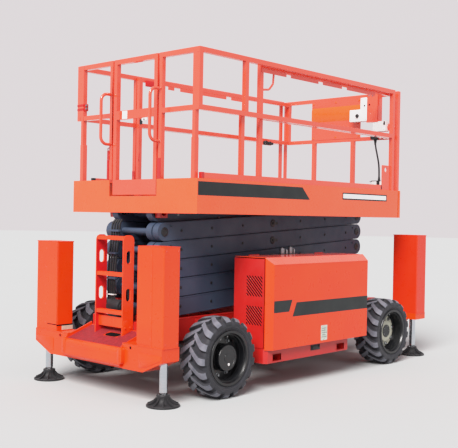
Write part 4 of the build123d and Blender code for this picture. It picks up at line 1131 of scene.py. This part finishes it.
def on_arm(kind, level, s, d=0.0):
    cz = ARM_Z0 + (level - 0.5) * PITCH
    side = 1 if kind == "outer" else -1
    return MID + side * (s * CS - d * SN), cz + s * SN + d * CS


def arm_trim(level):
    # outer arms: pivot caps, end caps, plug bolts
    bm = bmesh.new()
    for t in (1, -1):
        y = t * 0.310
        for s, r in ((0.0, 0.034), (-ARM_L / 2, 0.036), (ARM_L / 2, 0.036)):
            x, z = on_arm("outer", level, s)
            if s < 0:
                x, z = REAR_PIN, ARM_Z0 + (level - 1) * PITCH
            lathe(bm, [(r, 0.0), (r, 0.003), (r - 0.003, 0.0048), (0.018, 0.0052), (0.016, 0.0036), (0.0, 0.0036)], (x, y, z), (0, t, 0), seg=28)
    mark(bm, 0)
    for t in (1, -1):
        y = t * 0.310
        for s in (-1.13, -0.78, -0.40, 0.40, 0.78, 1.13):
            x, z = on_arm("outer", level, s)
            bolt(bm, (x, y, z), (0, t, 0), 0.0085, h=0.004)
        for s in (0.0,):
            x, z = on_arm("outer", level, s)
            bolt(bm, (x, t * 0.3136, z), (0, t, 0), 0.010, washer=False)
            box(bm, x + 0.030, x + 0.066, t * 0.310, t * 0.3135, z - 0.012, z + 0.012, 0.001, 1)
        # grease nipples beside the end pins
        for s in (-1.245, 1.245):
            x, z = on_arm("outer", level, s, 0.040)
            cyl(bm, (x, y, z), (x, y + t * 0.009, z), 0.0045, 10, 0.001)
    mark(bm, 1)
    # bright edge shoes: the pressed flange lines along both edges of the beam
    for t in (1, -1):
        for d in (0.0655, -0.0655):
            a = on_arm("outer", level, -1.24, d)
            b = on_arm("outer", level, 1.24, d)
            pts = [(a[0], a[1] - 0.0022), (b[0], b[1] - 0.0022), (b[0], b[1] + 0.0022), (a[0], a[1] + 0.0022)]
            prism(bm, pts, "xz", t * 0.3095, t * 0.3120, 0.0008, 1)
    mark(bm, 2)
    piece(f"outer_arm_trim_{level}", bm, [BLACK, PLASTIC, STACK], f"outer_{level}")

    bm = bmesh.new()
    for t in (1, -1):
        x, z = REAR_PIN, ARM_Z0 + level * PITCH
        lathe(bm, [(0.050, 0.0), (0.050, 0.004), (0.0256, 0.005), (0.0256, 0.0)], (x, t * 0.2360, z), (0, t, 0), seg=28, closed=True)
        # steel tube clipped along the inner face of the inner arm
        a, b = on_arm("inner", level, -0.95, 0.030), on_arm("inner", level, 0.95, 0.030)
        y = t * 0.1625
        if level not in (2, 3):
            tube(bm, bent([(a[0], t * 0.172, a[1]), (a[0] - 0.03, y, a[1]), (b[0] + 0.03, y, b[1]), (b[0], t * 0.172, b[1])], 0.012), 0.0055, 8)
            for s in (-0.8, -0.3, 0.3, 0.8):
                c = on_arm("inner", level, s, 0.030)
                box(bm, c[0] - 0.010, c[0] + 0.010, t * 0.1555, t * 0.1722, c[1] - 0.012, c[1] + 0.012, 0.002)
    mark(bm, 0)
    for t in (1, -1):
        for s in (-1.10, -0.62, 0.62, 1.10):
            x, z = on_arm("inner", level, s)
            bolt(bm, (x, t * 0.2360, z), (0, t, 0), 0.0085, h=0.004)
    mark(bm, 1)
    piece(f"inner_arm_trim_{level}", bm, [BLACK, ZINC], f"inner_{level}")


for level in range(1, 6):
    arm_trim(level)


# ---------------------------------------------------------------- chassis fittings
def chassis_trim():
    bm = bmesh.new()
    for t in (1, -1):
        # bright rubbing line and weld of the rail's top flange
        weld(bm, (-1.490, t * 0.3305, 0.556), (1.636, t * 0.3305, 0.556), 0.0028)
        for x in (-1.35, -0.95, 0.80, 1.00):
            box(bm, x - 0.035, x + 0.035, t * 0.330, t * 0.336, 0.400, 0.540, 0.002)
    mark(bm, 0)
    for t in (1, -1):
        for x in (-1.35, -0.95, 0.80, 1.00):
            for z in (0.425, 0.515):
                bolt(bm, (x, t * 0.336, z), (0, t, 0), 0.009)
        for x in (-1.191, -1.071, 1.085, 1.205):
            for xx in (0.0,):
                bolt(bm, (x, t * 0.278, 0.3655), (0, 0, -1), 0.010)
    mark(bm, 1)
    # in the darker copy of the orange paint, like the chassis: painted shade
    piece("chassis_trim", bm, [ORANGE_SHADED, ZINC], "chassis")

    # front end of the track: end stop, valve block and hard lines between the rails
    bm = bmesh.new()
    box(bm, 1.42, 1.60, -0.160, 0.160, 0.545, 0.640, 0.004)
    for k in range(5):
        cyl(bm, (1.44 + k * 0.032, -0.165, 0.592), (1.44 + k * 0.032, -0.215, 0.592), 0.012, 14, 0.002)
    mark(bm, 0)
    for k in range(5):
        x = 1.44 + k * 0.032
        cyl(bm, (x, 0.05, 0.638), (x, 0.05, 0.690), 0.014, 14, 0.003)
        tube(bm, bent([(x, -0.10, 0.638), (x, -0.10, 0.668), (x, -0.235, 0.668), (x, -0.235, 0.560)], 0.015), 0.006, 8)
    mark(bm, 1)
    piece("valve_block", bm, [BLACK, ZINC], "chassis")


chassis_trim()

# ---------------------------------------------------------------- platform: decals, treads, rail fittings
DECK_HALF, RAIL_Y, RAIL_X0 = 0.742, {1: 0.694, -1: 0.720}, -1.374
RAIL_TOP, RAIL_MID, FASCIA_Z1, FLOOR_Z = 2.617, 2.172, 1.648, 1.516
H = 0.019


def fascia_bands():
    for t, side in SIDES:
        bm = bmesh.new()
        pts = rounded([(-1.392, 1.522), (-0.037, 1.522), (-0.144, 1.625), (-1.392, 1.625)], 0.005, 3)
        prism(bm, pts, "xz", t * (DECK_HALF - 0.0004), t * (DECK_HALF + 0.0008), 0)
        prism(bm, rounded([(0.440, 1.537), (1.170, 1.537), (1.170, 1.600), (0.440, 1.600)], 0.006, 3), "xz", t * (DECK_HALF - 0.0004), t * (DECK_HALF + 0.0006), 0)
        mark(bm, 0)
        prism(bm, rounded([(0.452, 1.549), (1.158, 1.549), (1.158, 1.589), (0.452, 1.589)], 0.004, 3), "xz", t * (DECK_HALF - 0.0002), t * (DECK_HALF + 0.0010), 0)
        mark(bm, 1)
        piece(f"fascia_band_{side}", bm, [BAND, WHITE], "platform")


fascia_bands()


def tread(name, body, x0, x1, y0, y1, z, pitch=0.042):
    """Raised lozenges of a chequer plate, over a thin sheet."""
    bm = bmesh.new()
    box(bm, x0, x1, y0, y1, z, z + 0.0008, 0)
    nx, ny = int((x1 - x0 - 0.02) / pitch), int((y1 - y0 - 0.02) / pitch)
    ox, oy = (x0 + x1 - (nx - 1) * pitch) / 2, (y0 + y1 - (ny - 1) * pitch) / 2
    for i in range(nx):
        for j in range(ny):
            a = rad(45 if (i + j) % 2 else -45)
            cx, cy = ox + i * pitch, oy + j * pitch
            c, s = math.cos(a), math.sin(a)
            base = [(0.015, 0), (0.006, 0.0042), (-0.006, 0.0042), (-0.015, 0), (-0.006, -0.0042), (0.006, -0.0042)]
            low = [bm.verts.new((cx + u * c - v * s, cy + u * s + v * c, z + 0.0007)) for u, v in base]
            top = [bm.verts.new((cx + u * 0.7 * c - v * 0.55 * s, cy + u * 0.7 * s + v * 0.55 * c, z + 0.0024)) for u, v in base]
            for k in range(6):
                m = (k + 1) % 6
                bm.faces.new((low[k], low[m], top[m], top[k]))
            bm.faces.new(top)
    piece(name, bm, [PLATE], body, sharp=50)


tread("deck_tread_rear", "platform", -1.390, -0.778, -0.700, 0.700, FLOOR_Z)
tread("deck_tread_front", "platform", -0.770, 1.372, -0.600, 0.600, FLOOR_Z, pitch=0.060)
tread("extension_tread", "extension", -0.765, 1.384, -0.640, 0.640, 1.532)


def rail_trim():
    # weld beads where the rails meet the posts and the posts meet the fascia
    bm = bmesh.new()
    for t in (1, -1):
        mid, front = ((-0.754, 1.320) if t == 1 else (-0.862, 1.276))
        ry = RAIL_Y[t]
        for x in (RAIL_X0, mid, front):
            for s in (1, -1):
                weld(bm, (x - s * 0.0185, t * ry - 0.018, RAIL_TOP - 0.0385), (x - s * 0.0185, t * ry + 0.018, RAIL_TOP - 0.0385), 0.003)
                weld(bm, (x + s * 0.0200, t * ry - 0.017, RAIL_MID - 0.017), (x + s * 0.0200, t * ry - 0.017, RAIL_MID + 0.017), 0.003)
        for x in (mid, front):
            for s in (1, -1):
                weld(bm, (x - 0.019, t * ry + s * 0.0195, FASCIA_Z1 + 0.001), (x + 0.019, t * ry + s * 0.0195, FASCIA_Z1 + 0.001), 0.003)
    # rolled collars at the tops of the rear corner sockets
    for y0, y1 in ((0.628, 0.666), (-0.701, -0.665)):
        for z in (1.946,):
            box(bm, RAIL_X0 - 0.0205, RAIL_X0 + 0.0225, y0 - 0.0005, y1 + 0.0005, z - 0.003, z + 0.004, 0.002, 1)
    mark(bm, 0)
    piece("rail_welds", bm, [ORANGE_SHEEN], "platform")

    # stiffeners and brackets at the feet of the posts
    bm = bmesh.new()
    box(bm, RAIL_X0 - H - 0.004, RAIL_X0 + 0.016, 0.287, 0.3085, FASCIA_Z1, 1.812, 0.003)
    box(bm, RAIL_X0 - H - 0.0045, RAIL_X0 - H + 0.001, -0.336, -0.300, FASCIA_Z1, 1.808, 0.002)
    box(bm, -0.7775, -0.7725, 0.6765, 0.7115, FASCIA_Z1 + 0.002, 1.762, 0.002)
    box(bm, 1.2965, 1.302, 0.694, 0.7115, FASCIA_Z1 + 0.002, 1.745, 0.002)
    # block at the sill's rear end, on the near side
    box(bm, -1.349, -1.321, -0.736, -0.704, FASCIA_Z1 + 0.001, FASCIA_Z1 + 0.047, 0.003)
    mark(bm, 0)
    piece("post_foot_clamps", bm, [DARK_RED], "platform")

    # thin hook strap beside the opening
    bm = bmesh.new()
    box(bm, RAIL_X0 - H - 0.0070, RAIL_X0 - H - 0.0040, 0.279, 0.302, 1.812, 1.888, 0.001)
    tube(bm, bent([(RAIL_X0 - H - 0.006, 0.2905, 1.880), (RAIL_X0 - H - 0.010, 0.2905, 1.905), (RAIL_X0 - H + 0.004, 0.2905, 1.912)], 0.008), 0.0035, 8)
    mark(bm, 0)
    piece("opening_hook", bm, [DARK_RED], "platform")

    # sill tube ends
    bm = bmesh.new()
    box(bm, -1.2425, -1.214, RAIL_Y[1] - 0.0150, RAIL_Y[1] + 0.0150, FASCIA_Z1 + 0.001, FASCIA_Z1 + 0.0312, 0.003)
    for t, sill, h in ((1, 1.180, 0.030), (-1, 1.090, 0.044)):
        box(bm, sill - 0.014, sill + 0.004, t * RAIL_Y[t] - 0.0148, t * RAIL_Y[t] + 0.0148, FASCIA_Z1 + 0.001, FASCIA_Z1 + h + 0.0008, 0.003)
    mark(bm, 0)
    piece("sill_end_plugs", bm, [BLACK], "platform")

    # clamp on the rear left corner tubes
    bm = bmesh.new()
    for z in (2.250, 2.284):
        box(bm, RAIL_X0 - 0.0215, RAIL_X0 + 0.0215, 0.6315, 0.7155, z - 0.010, z + 0.010, 0.003)
    box(bm, RAIL_X0 - 0.014, RAIL_X0 + 0.016, 0.611, 0.634, 2.236, 2.296, 0.004)
    mark(bm, 0)
    for z in (2.256, 2.282):
        cyl(bm, (RAIL_X0 - 0.010, 0.600, z), (RAIL_X0 - 0.010, 0.613, z), 0.008, 12, 0.001)
    mark(bm, 1)
    # in the darker copy of the orange paint: painted shade
    piece("post_clamp", bm, [ORANGE_SHADED, ZINC], "platform")


rail_trim()


def gate_trim():
    bm = bmesh.new()
    xf = RAIL_X0 - H
    # blank sticker on the middle rail
    box(bm, xf - 0.0012, xf + 0.0005, 0.067, 0.128, RAIL_MID - 0.036, RAIL_MID + 0.026, 0.0004, 1)
    mark(bm, 0)
    # latch on the free side
    box(bm, xf - 0.0095, xf, -0.174, -0.118, RAIL_MID - 0.066, RAIL_MID - 0.046, 0.002)
    mark(bm, 0)
    box(bm, xf - 0.0085, xf, -0.118, -0.090, RAIL_MID - 0.095, RAIL_MID - 0.052, 0.002)
    mark(bm, 3)
    cyl(bm, (xf - 0.008, -0.150, RAIL_MID - 0.056), (xf - 0.020, -0.150, RAIL_MID - 0.056), 0.0065, 14, 0.002)
    mark(bm, 1)
    for z in (1.760, 2.060, 2.440):
        weld(bm, (xf + 0.002, 0.216 - 0.019, z), (xf + 0.002, 0.216 + 0.019, z), 0.0024)
    tube(bm, bent([(xf - 0.001, -0.086, 1.790), (xf - 0.012, -0.092, 1.800), (xf - 0.012, -0.098, 1.845), (xf - 0.002, -0.098, 1.856)], 0.008), 0.0035, 8)
    mark(bm, 2)
    piece("gate_trim", bm, [WHITE, ZINC, DARK_RED, PLASTIC], "gate")


gate_trim()


def extension_trim():
    # thin cover strips under the top rails, in lengths with gaps
    bm = bmesh.new()
    zt = 2.564
    for x0, x1 in ((-0.633, -0.320), (-0.260, 0.123), (0.189, 0.475), (0.554, 1.020)):
        box(bm, x0, x1, -0.6905, -0.6865, 2.533, zt, 0.0012, 1)
    for x0, x1 in ((-0.422, -0.345), (-0.267, 0.370), (0.443, 0.701)):
        box(bm, x0, x1, 0.6300, 0.6345, 2.533, zt, 0.0012, 1)
    mark(bm, 0)
    piece("rail_strips", bm, [ORANGE_SHEEN], "extension")

    bm = bmesh.new()
    tube(bm, bent([(-0.626, -0.676, 2.394), (-0.526, -0.676, 2.406), (-0.477, -0.676, 2.457), (-0.467, -0.676, 2.566)], 0.035), 0.0085, 12)
    mark(bm, 0)
    piece("slide_handle", bm, [ORANGE_SHEEN], "extension")

    # black spring knob on the left middle rail
    bm = bmesh.new()
    box(bm, 0.930, 1.065, 0.622, 0.632, 2.124, 2.166, 0.002)
    mark(bm, 0)
    cyl(bm, (0.955, 0.624, 2.146), (0.955, 0.586, 2.146), 0.024, 20, 0.005)
    cyl(bm, (1.010, 0.624, 2.144), (1.010, 0.582, 2.144), 0.020, 20, 0.005)
    cyl(bm, (1.052, 0.624, 2.142), (1.052, 0.588, 2.142), 0.014, 16, 0.003)
    mark(bm, 1)
    piece("slide_lock", bm, [ORANGE_SHEEN, PLASTIC], "extension")

    # red box on the left rail
    bm = bmesh.new()
    box(bm, -0.706, -0.592, 0.6160, 0.6325, 2.529, 2.582, 0.004)
    mark(bm, 0)
    cyl(bm, (-0.592, 0.624, 2.554), (-0.566, 0.624, 2.554), 0.008, 14, 0.002)
    mark(bm, 1)
    piece("rail_box", bm, [RED_KNOB, PLASTIC], "extension")


extension_trim()


def station():
    """Plates, bracket and controls of the platform control station."""
    X0 = 1.2815
    bm = bmesh.new()
    # hanger bracket: a folded channel beside the housing, hung over the front rail
    box(bm, X0 - 0.0062, X0 - 0.0010, -0.557, -0.430, 2.328, 2.600, 0.0016)
    box(bm, X0 - 0.0062, X0 + 0.0640, -0.557, -0.552, 2.328, 2.600, 0.0016)
    box(bm, X0 - 0.0062, X0 + 0.0640, -0.435, -0.430, 2.328, 2.600, 0.0016)
    box(bm, X0 - 0.0100, X0 + 0.0500, -0.560, -0.427, 2.322, 2.334, 0.002)
    box(bm, X0 - 0.004, 1.376, -0.554, -0.432, 2.596, 2.604, 0.002)
    mark(bm, 0)
    # a hole in the channel, as a dark disc of painted shade
    lathe(bm, [(0.0095, 0.0), (0.0095, 0.0012), (0.0, 0.0012)], (X0 - 0.0058, -0.457, 2.495), (-1, 0, 0), seg=20)
    mark(bm, 1)
    for yy, zz in ((-0.451, 2.588), (-0.492, 2.583)):
        bolt(bm, (X0 - 0.006, yy, zz), (-1, 0, 0), 0.0070)
    mark(bm, 2)
    piece("station_bracket", bm, [ORANGE_SHEEN, SHADOW_FILL, ZINC], "extension")

    bm = bmesh.new()
    # face plates with a slight lip, joystick knob, clip
    prism(bm, rounded([(-0.428, 2.340), (-0.224, 2.340), (-0.224, 2.457), (-0.352, 2.457), (-0.352, 2.571), (-0.428, 2.571)], 0.006), "yz", X0 - 0.0045, X0 - 0.0004, 0.0015)
    prism(bm, rounded([(-0.641, 2.228), (-0.502, 2.228), (-0.502, 2.326), (-0.641, 2.326)], 0.008), "yz", X0 - 0.0045, X0 - 0.0004, 0.0015)
    mark(bm, 0)
    lathe(bm, [(0.0180, 0.0), (0.0195, 0.005), (0.0160, 0.016), (0.0085, 0.019), (0.0, 0.019)], (X0 - 0.004, -0.317, 2.395), (-1, 0, 0), seg=24)
    cyl(bm, (X0 - 0.003, -0.402, 2.492), (X0 - 0.014, -0.402, 2.492), 0.007, 14, 0.002)
    box(bm, X0 - 0.014, X0 - 0.002, -0.640, -0.626, 2.288, 2.322, 0.003)
    mark(bm, 1)
    for yy, zz in ((-0.238, 2.354), (-0.238, 2.443), (-0.366, 2.557), (-0.414, 2.557), (-0.414, 2.354), (-0.628, 2.242), (-0.516, 2.242), (-0.516, 2.312)):
        cyl(bm, (X0 - 0.004, yy, zz), (X0 - 0.0060, yy, zz), 0.0036, 12, 0.0008)
    mark(bm, 2)
    piece("station_plates", bm, [WHITE, PLASTIC, ZINC], "extension")

    # round clamp on the front corner post
    bm = bmesh.new()
    lathe(bm, [(0.0290, -0.020), (0.0320, -0.017), (0.0320, 0.017), (0.0290, 0.020), (0.0, 0.020)], (1.345, -0.650, 2.268), (-1, 0, 0), seg=28)
    lathe(bm, [(0.0150, 0.0), (0.0150, 0.010), (0.0, 0.012)], (1.326, -0.650, 2.268), (-1, 0, 0), seg=20)
    mark(bm, 0)
    piece("corner_clamp", bm, [ORANGE_SHEEN], "extension")

    # bent middle of the front panel, and its fixing screws
    bm = bmesh.new()
    pts = [(1.3728, 2.372), (1.3655, 2.402), (1.3655, 2.491), (1.3728, 2.521)]
    back = [(x + 0.0020, z) for x, z in pts]
    loop = pts + back[::-1]
    low = [bm.verts.new((x, -0.289, z)) for x, z in loop]
    high = [bm.verts.new((x, 0.320, z)) for x, z in loop]
    bm.faces.new(low); bm.faces.new(high[::-1])
    for i in range(len(loop)):
        j = (i + 1) % len(loop)
        bm.faces.new((low[j], low[i], high[i], high[j]))
    for yy in (-0.270, 0.015, 0.300):
        for zz in (2.205, 2.565):
            bolt(bm, (1.373, yy, zz), (-1, 0, 0), 0.007)
    mark(bm, 0)
    piece("panel_ridge", bm, [ORANGE_HOT], "extension")


station()


# ---------------------------------------------------------------- under the covers
def engine():
    bm = bmesh.new()
    x0, x1, y0, y1, z0, z1 = -0.420, 0.260, -0.850, -0.560, 0.334, 0.860
    box(bm, x0 + 0.10, x1 - 0.12, -0.800, -0.600, 0.440, 0.700, 0.012)
    box(bm, x0 + 0.12, x1 - 0.14, -0.780, -0.620, 0.690, 0.790, 0.014)
    box(bm, x0 + 0.08, x1 - 0.10, -0.770, -0.630, 0.360, 0.450, 0.02)
    for k in range(9):
        x = x0 + 0.14 + k * 0.035
        box(bm, x, x + 0.010, -0.812, -0.790, 0.470, 0.680, 0.003)
    mark(bm, 0)
    # rocker cover, air cleaner, radiator, fan ring
    box(bm, x0 + 0.14, x1 - 0.16, -0.765, -0.640, 0.785, 0.835, 0.018)
    cyl(bm, (x0 + 0.12, -0.715, 0.800), (x0 + 0.02, -0.715, 0.800), 0.055, 28, 0.01)
    box(bm, x0 + 0.005, x0 + 0.065, -0.840, -0.575, 0.345, 0.720, 0.008)
    mark(bm, 1)
    for k in range(12):
        z = 0.375 + k * 0.028
        box(bm, x0 + 0.001, x0 + 0.006, -0.825, -0.590, z, z + 0.008, 0.001, 1)
    cyl(bm, (x1 - 0.12, -0.700, 0.560), (x1 - 0.03, -0.700, 0.560), 0.095, 32, 0.010)
    cyl(bm, (x1 - 0.03, -0.700, 0.560), (x1 - 0.002, -0.700, 0.560), 0.060, 28, 0.006)
    cyl(bm, (-0.10, -0.800, 0.480), (-0.10, -0.848, 0.480), 0.040, 28, 0.006)
    mark(bm, 2)
    for k in range(4):
        x = -0.24 + k * 0.085
        tube(bm, bent([(x, -0.70, 0.833), (x, -0.70, 0.850), (x + 0.02, -0.815, 0.850), (x + 0.02, -0.815, 0.700)], 0.02), 0.0035, 8)
        bolt(bm, (x, -0.762, 0.800), (0, -1, 0), 0.007)
    for x in (x0 + 0.02, x1 - 0.14):
        for yy in (-0.83, -0.59):
            box(bm, x, x + 0.06, yy - 0.018, yy + 0.018, z0 + 0.001, 0.372, 0.004)
    mark(bm, 3)
    piece("engine_assembly", bm, [ENGINE, PLASTIC, BLACK, ZINC], "chassis", replaces=["engine_block"])

    # tanks: rounded tops with filler caps, gauge and straps
    # the hydraulic tank takes the darker copy of the orange paint: painted shade
    for name, node, (x0, x1, z1), mat in (("hydraulic_tank_shell", "hydraulic_tank", (-0.600, -0.060, 0.820), ORANGE_SHADED), ("fuel_tank_shell", "fuel_tank", (0.060, 0.560, 0.700), BLACK)):
        bm = bmesh.new()
        zt = z1 - 0.026
        box(bm, x0 + 0.002, x1 - 0.002, 0.562, 0.848, 0.3345, zt, 0.022, 4)
        for x in (x0 + 0.10, x1 - 0.10):
            box(bm, x - 0.016, x + 0.016, 0.5605, 0.8495, 0.3345, zt + 0.0015, 0.006)
        mark(bm, 0)
        cyl(bm, (x0 + 0.16, 0.690, zt - 0.002), (x0 + 0.16, 0.690, zt + 0.012), 0.046, 28, 0.003)
        cyl(bm, (x0 + 0.16, 0.690, zt + 0.010), (x0 + 0.16, 0.690, z1 - 0.001), 0.038, 28, 0.004)
        mark(bm, 1)
        for k in range(10):
            a = 2 * math.pi * k / 10
            box(bm, x0 + 0.16 + 0.038 * math.cos(a) - 0.004, x0 + 0.16 + 0.038 * math.cos(a) + 0.004, 0.690 + 0.038 * math.sin(a) - 0.004, 0.690 + 0.038 * math.sin(a) + 0.004, zt + 0.011, z1 - 0.003, 0.001, 1)
        mark(bm, 1)
        box(bm, x1 - 0.060, x1 - 0.030, 0.8475, 0.8498, 0.400, zt - 0.06, 0.0008, 1)
        for z in (0.395, zt - 0.055):
            bolt(bm, (x1 - 0.045, 0.8480, z), (0, 1, 0), 0.0026, washer=False)
        mark(bm, 2)
        piece(name, bm, [mat, PLASTIC, ZINC], "chassis", replaces=[node])


engine()


# ---------------------------------------------------------------- floor and light
def floor():
    bm = bmesh.new()
    bmesh.ops.create_circle(bm, cap_ends=True, radius=60, segments=64)
    me = bpy.data.meshes.new("floor")
    bm.to_mesh(me)
    bm.free()
    s = Shader("floor_pale", spec=0.0)
    s.colour(s.mix(s.ramp(s.noise(0.6, 3, 0.5), 0.3, 0.7), (0.405, 0.426, 0.428, 1), (0.401, 0.422, 0.424, 1)))
    s.b.inputs["Roughness"].default_value = 1.0
    me.materials.append(s.m)
    ob = bpy.data.objects.new("floor", me)
    bpy.context.scene.collection.objects.link(ob)


floor()


WORLD = (0.80, 0.735, 0.755, 1)
KEY = 6.3
TONE = [(0, 0), (0.2, 0.5), (0.3, 0.705), (0.4, 0.80), (0.6, 0.872), (0.8, 0.905), (1, 0.925)]


def light():
    world = bpy.data.worlds.new("studio")
    bpy.context.scene.world = world
    world.use_nodes = True
    nt = world.node_tree
    bg = nt.nodes["Background"]
    bg.inputs["Color"].default_value = WORLD
    bg.inputs["Strength"].default_value = 1.0

    def sun(name, direction, strength, angle, colour=(1, 1, 1)):
        data = bpy.data.lights.new(name, "SUN")
        data.energy = strength
        data.angle = rad(angle)
        data.color = colour
        ob = bpy.data.objects.new(name, data)
        ob.rotation_mode = "QUATERNION"
        ob.rotation_quaternion = Vector(direction).to_track_quat("Z", "Y")
        bpy.context.scene.collection.objects.link(ob)

    sun("key", (-0.66, -0.31, 0.68), KEY, 30, (1.0, 0.962, 0.942))
    # response: more contrast in the middle tones, a soft shoulder in the lights
    vs = bpy.context.scene.view_settings
    vs.view_transform = "Standard"
    vs.use_curve_mapping = True
    cm = vs.curve_mapping
    cm.white_level = (2.5, 2.5, 2.5)
    c = cm.curves[3]
    pts = TONE
    while len(c.points) < len(pts):
        c.points.new(0.5, 0.5)
    for p, q in zip(c.points, pts):
        p.location = q
    cm.update()


light()
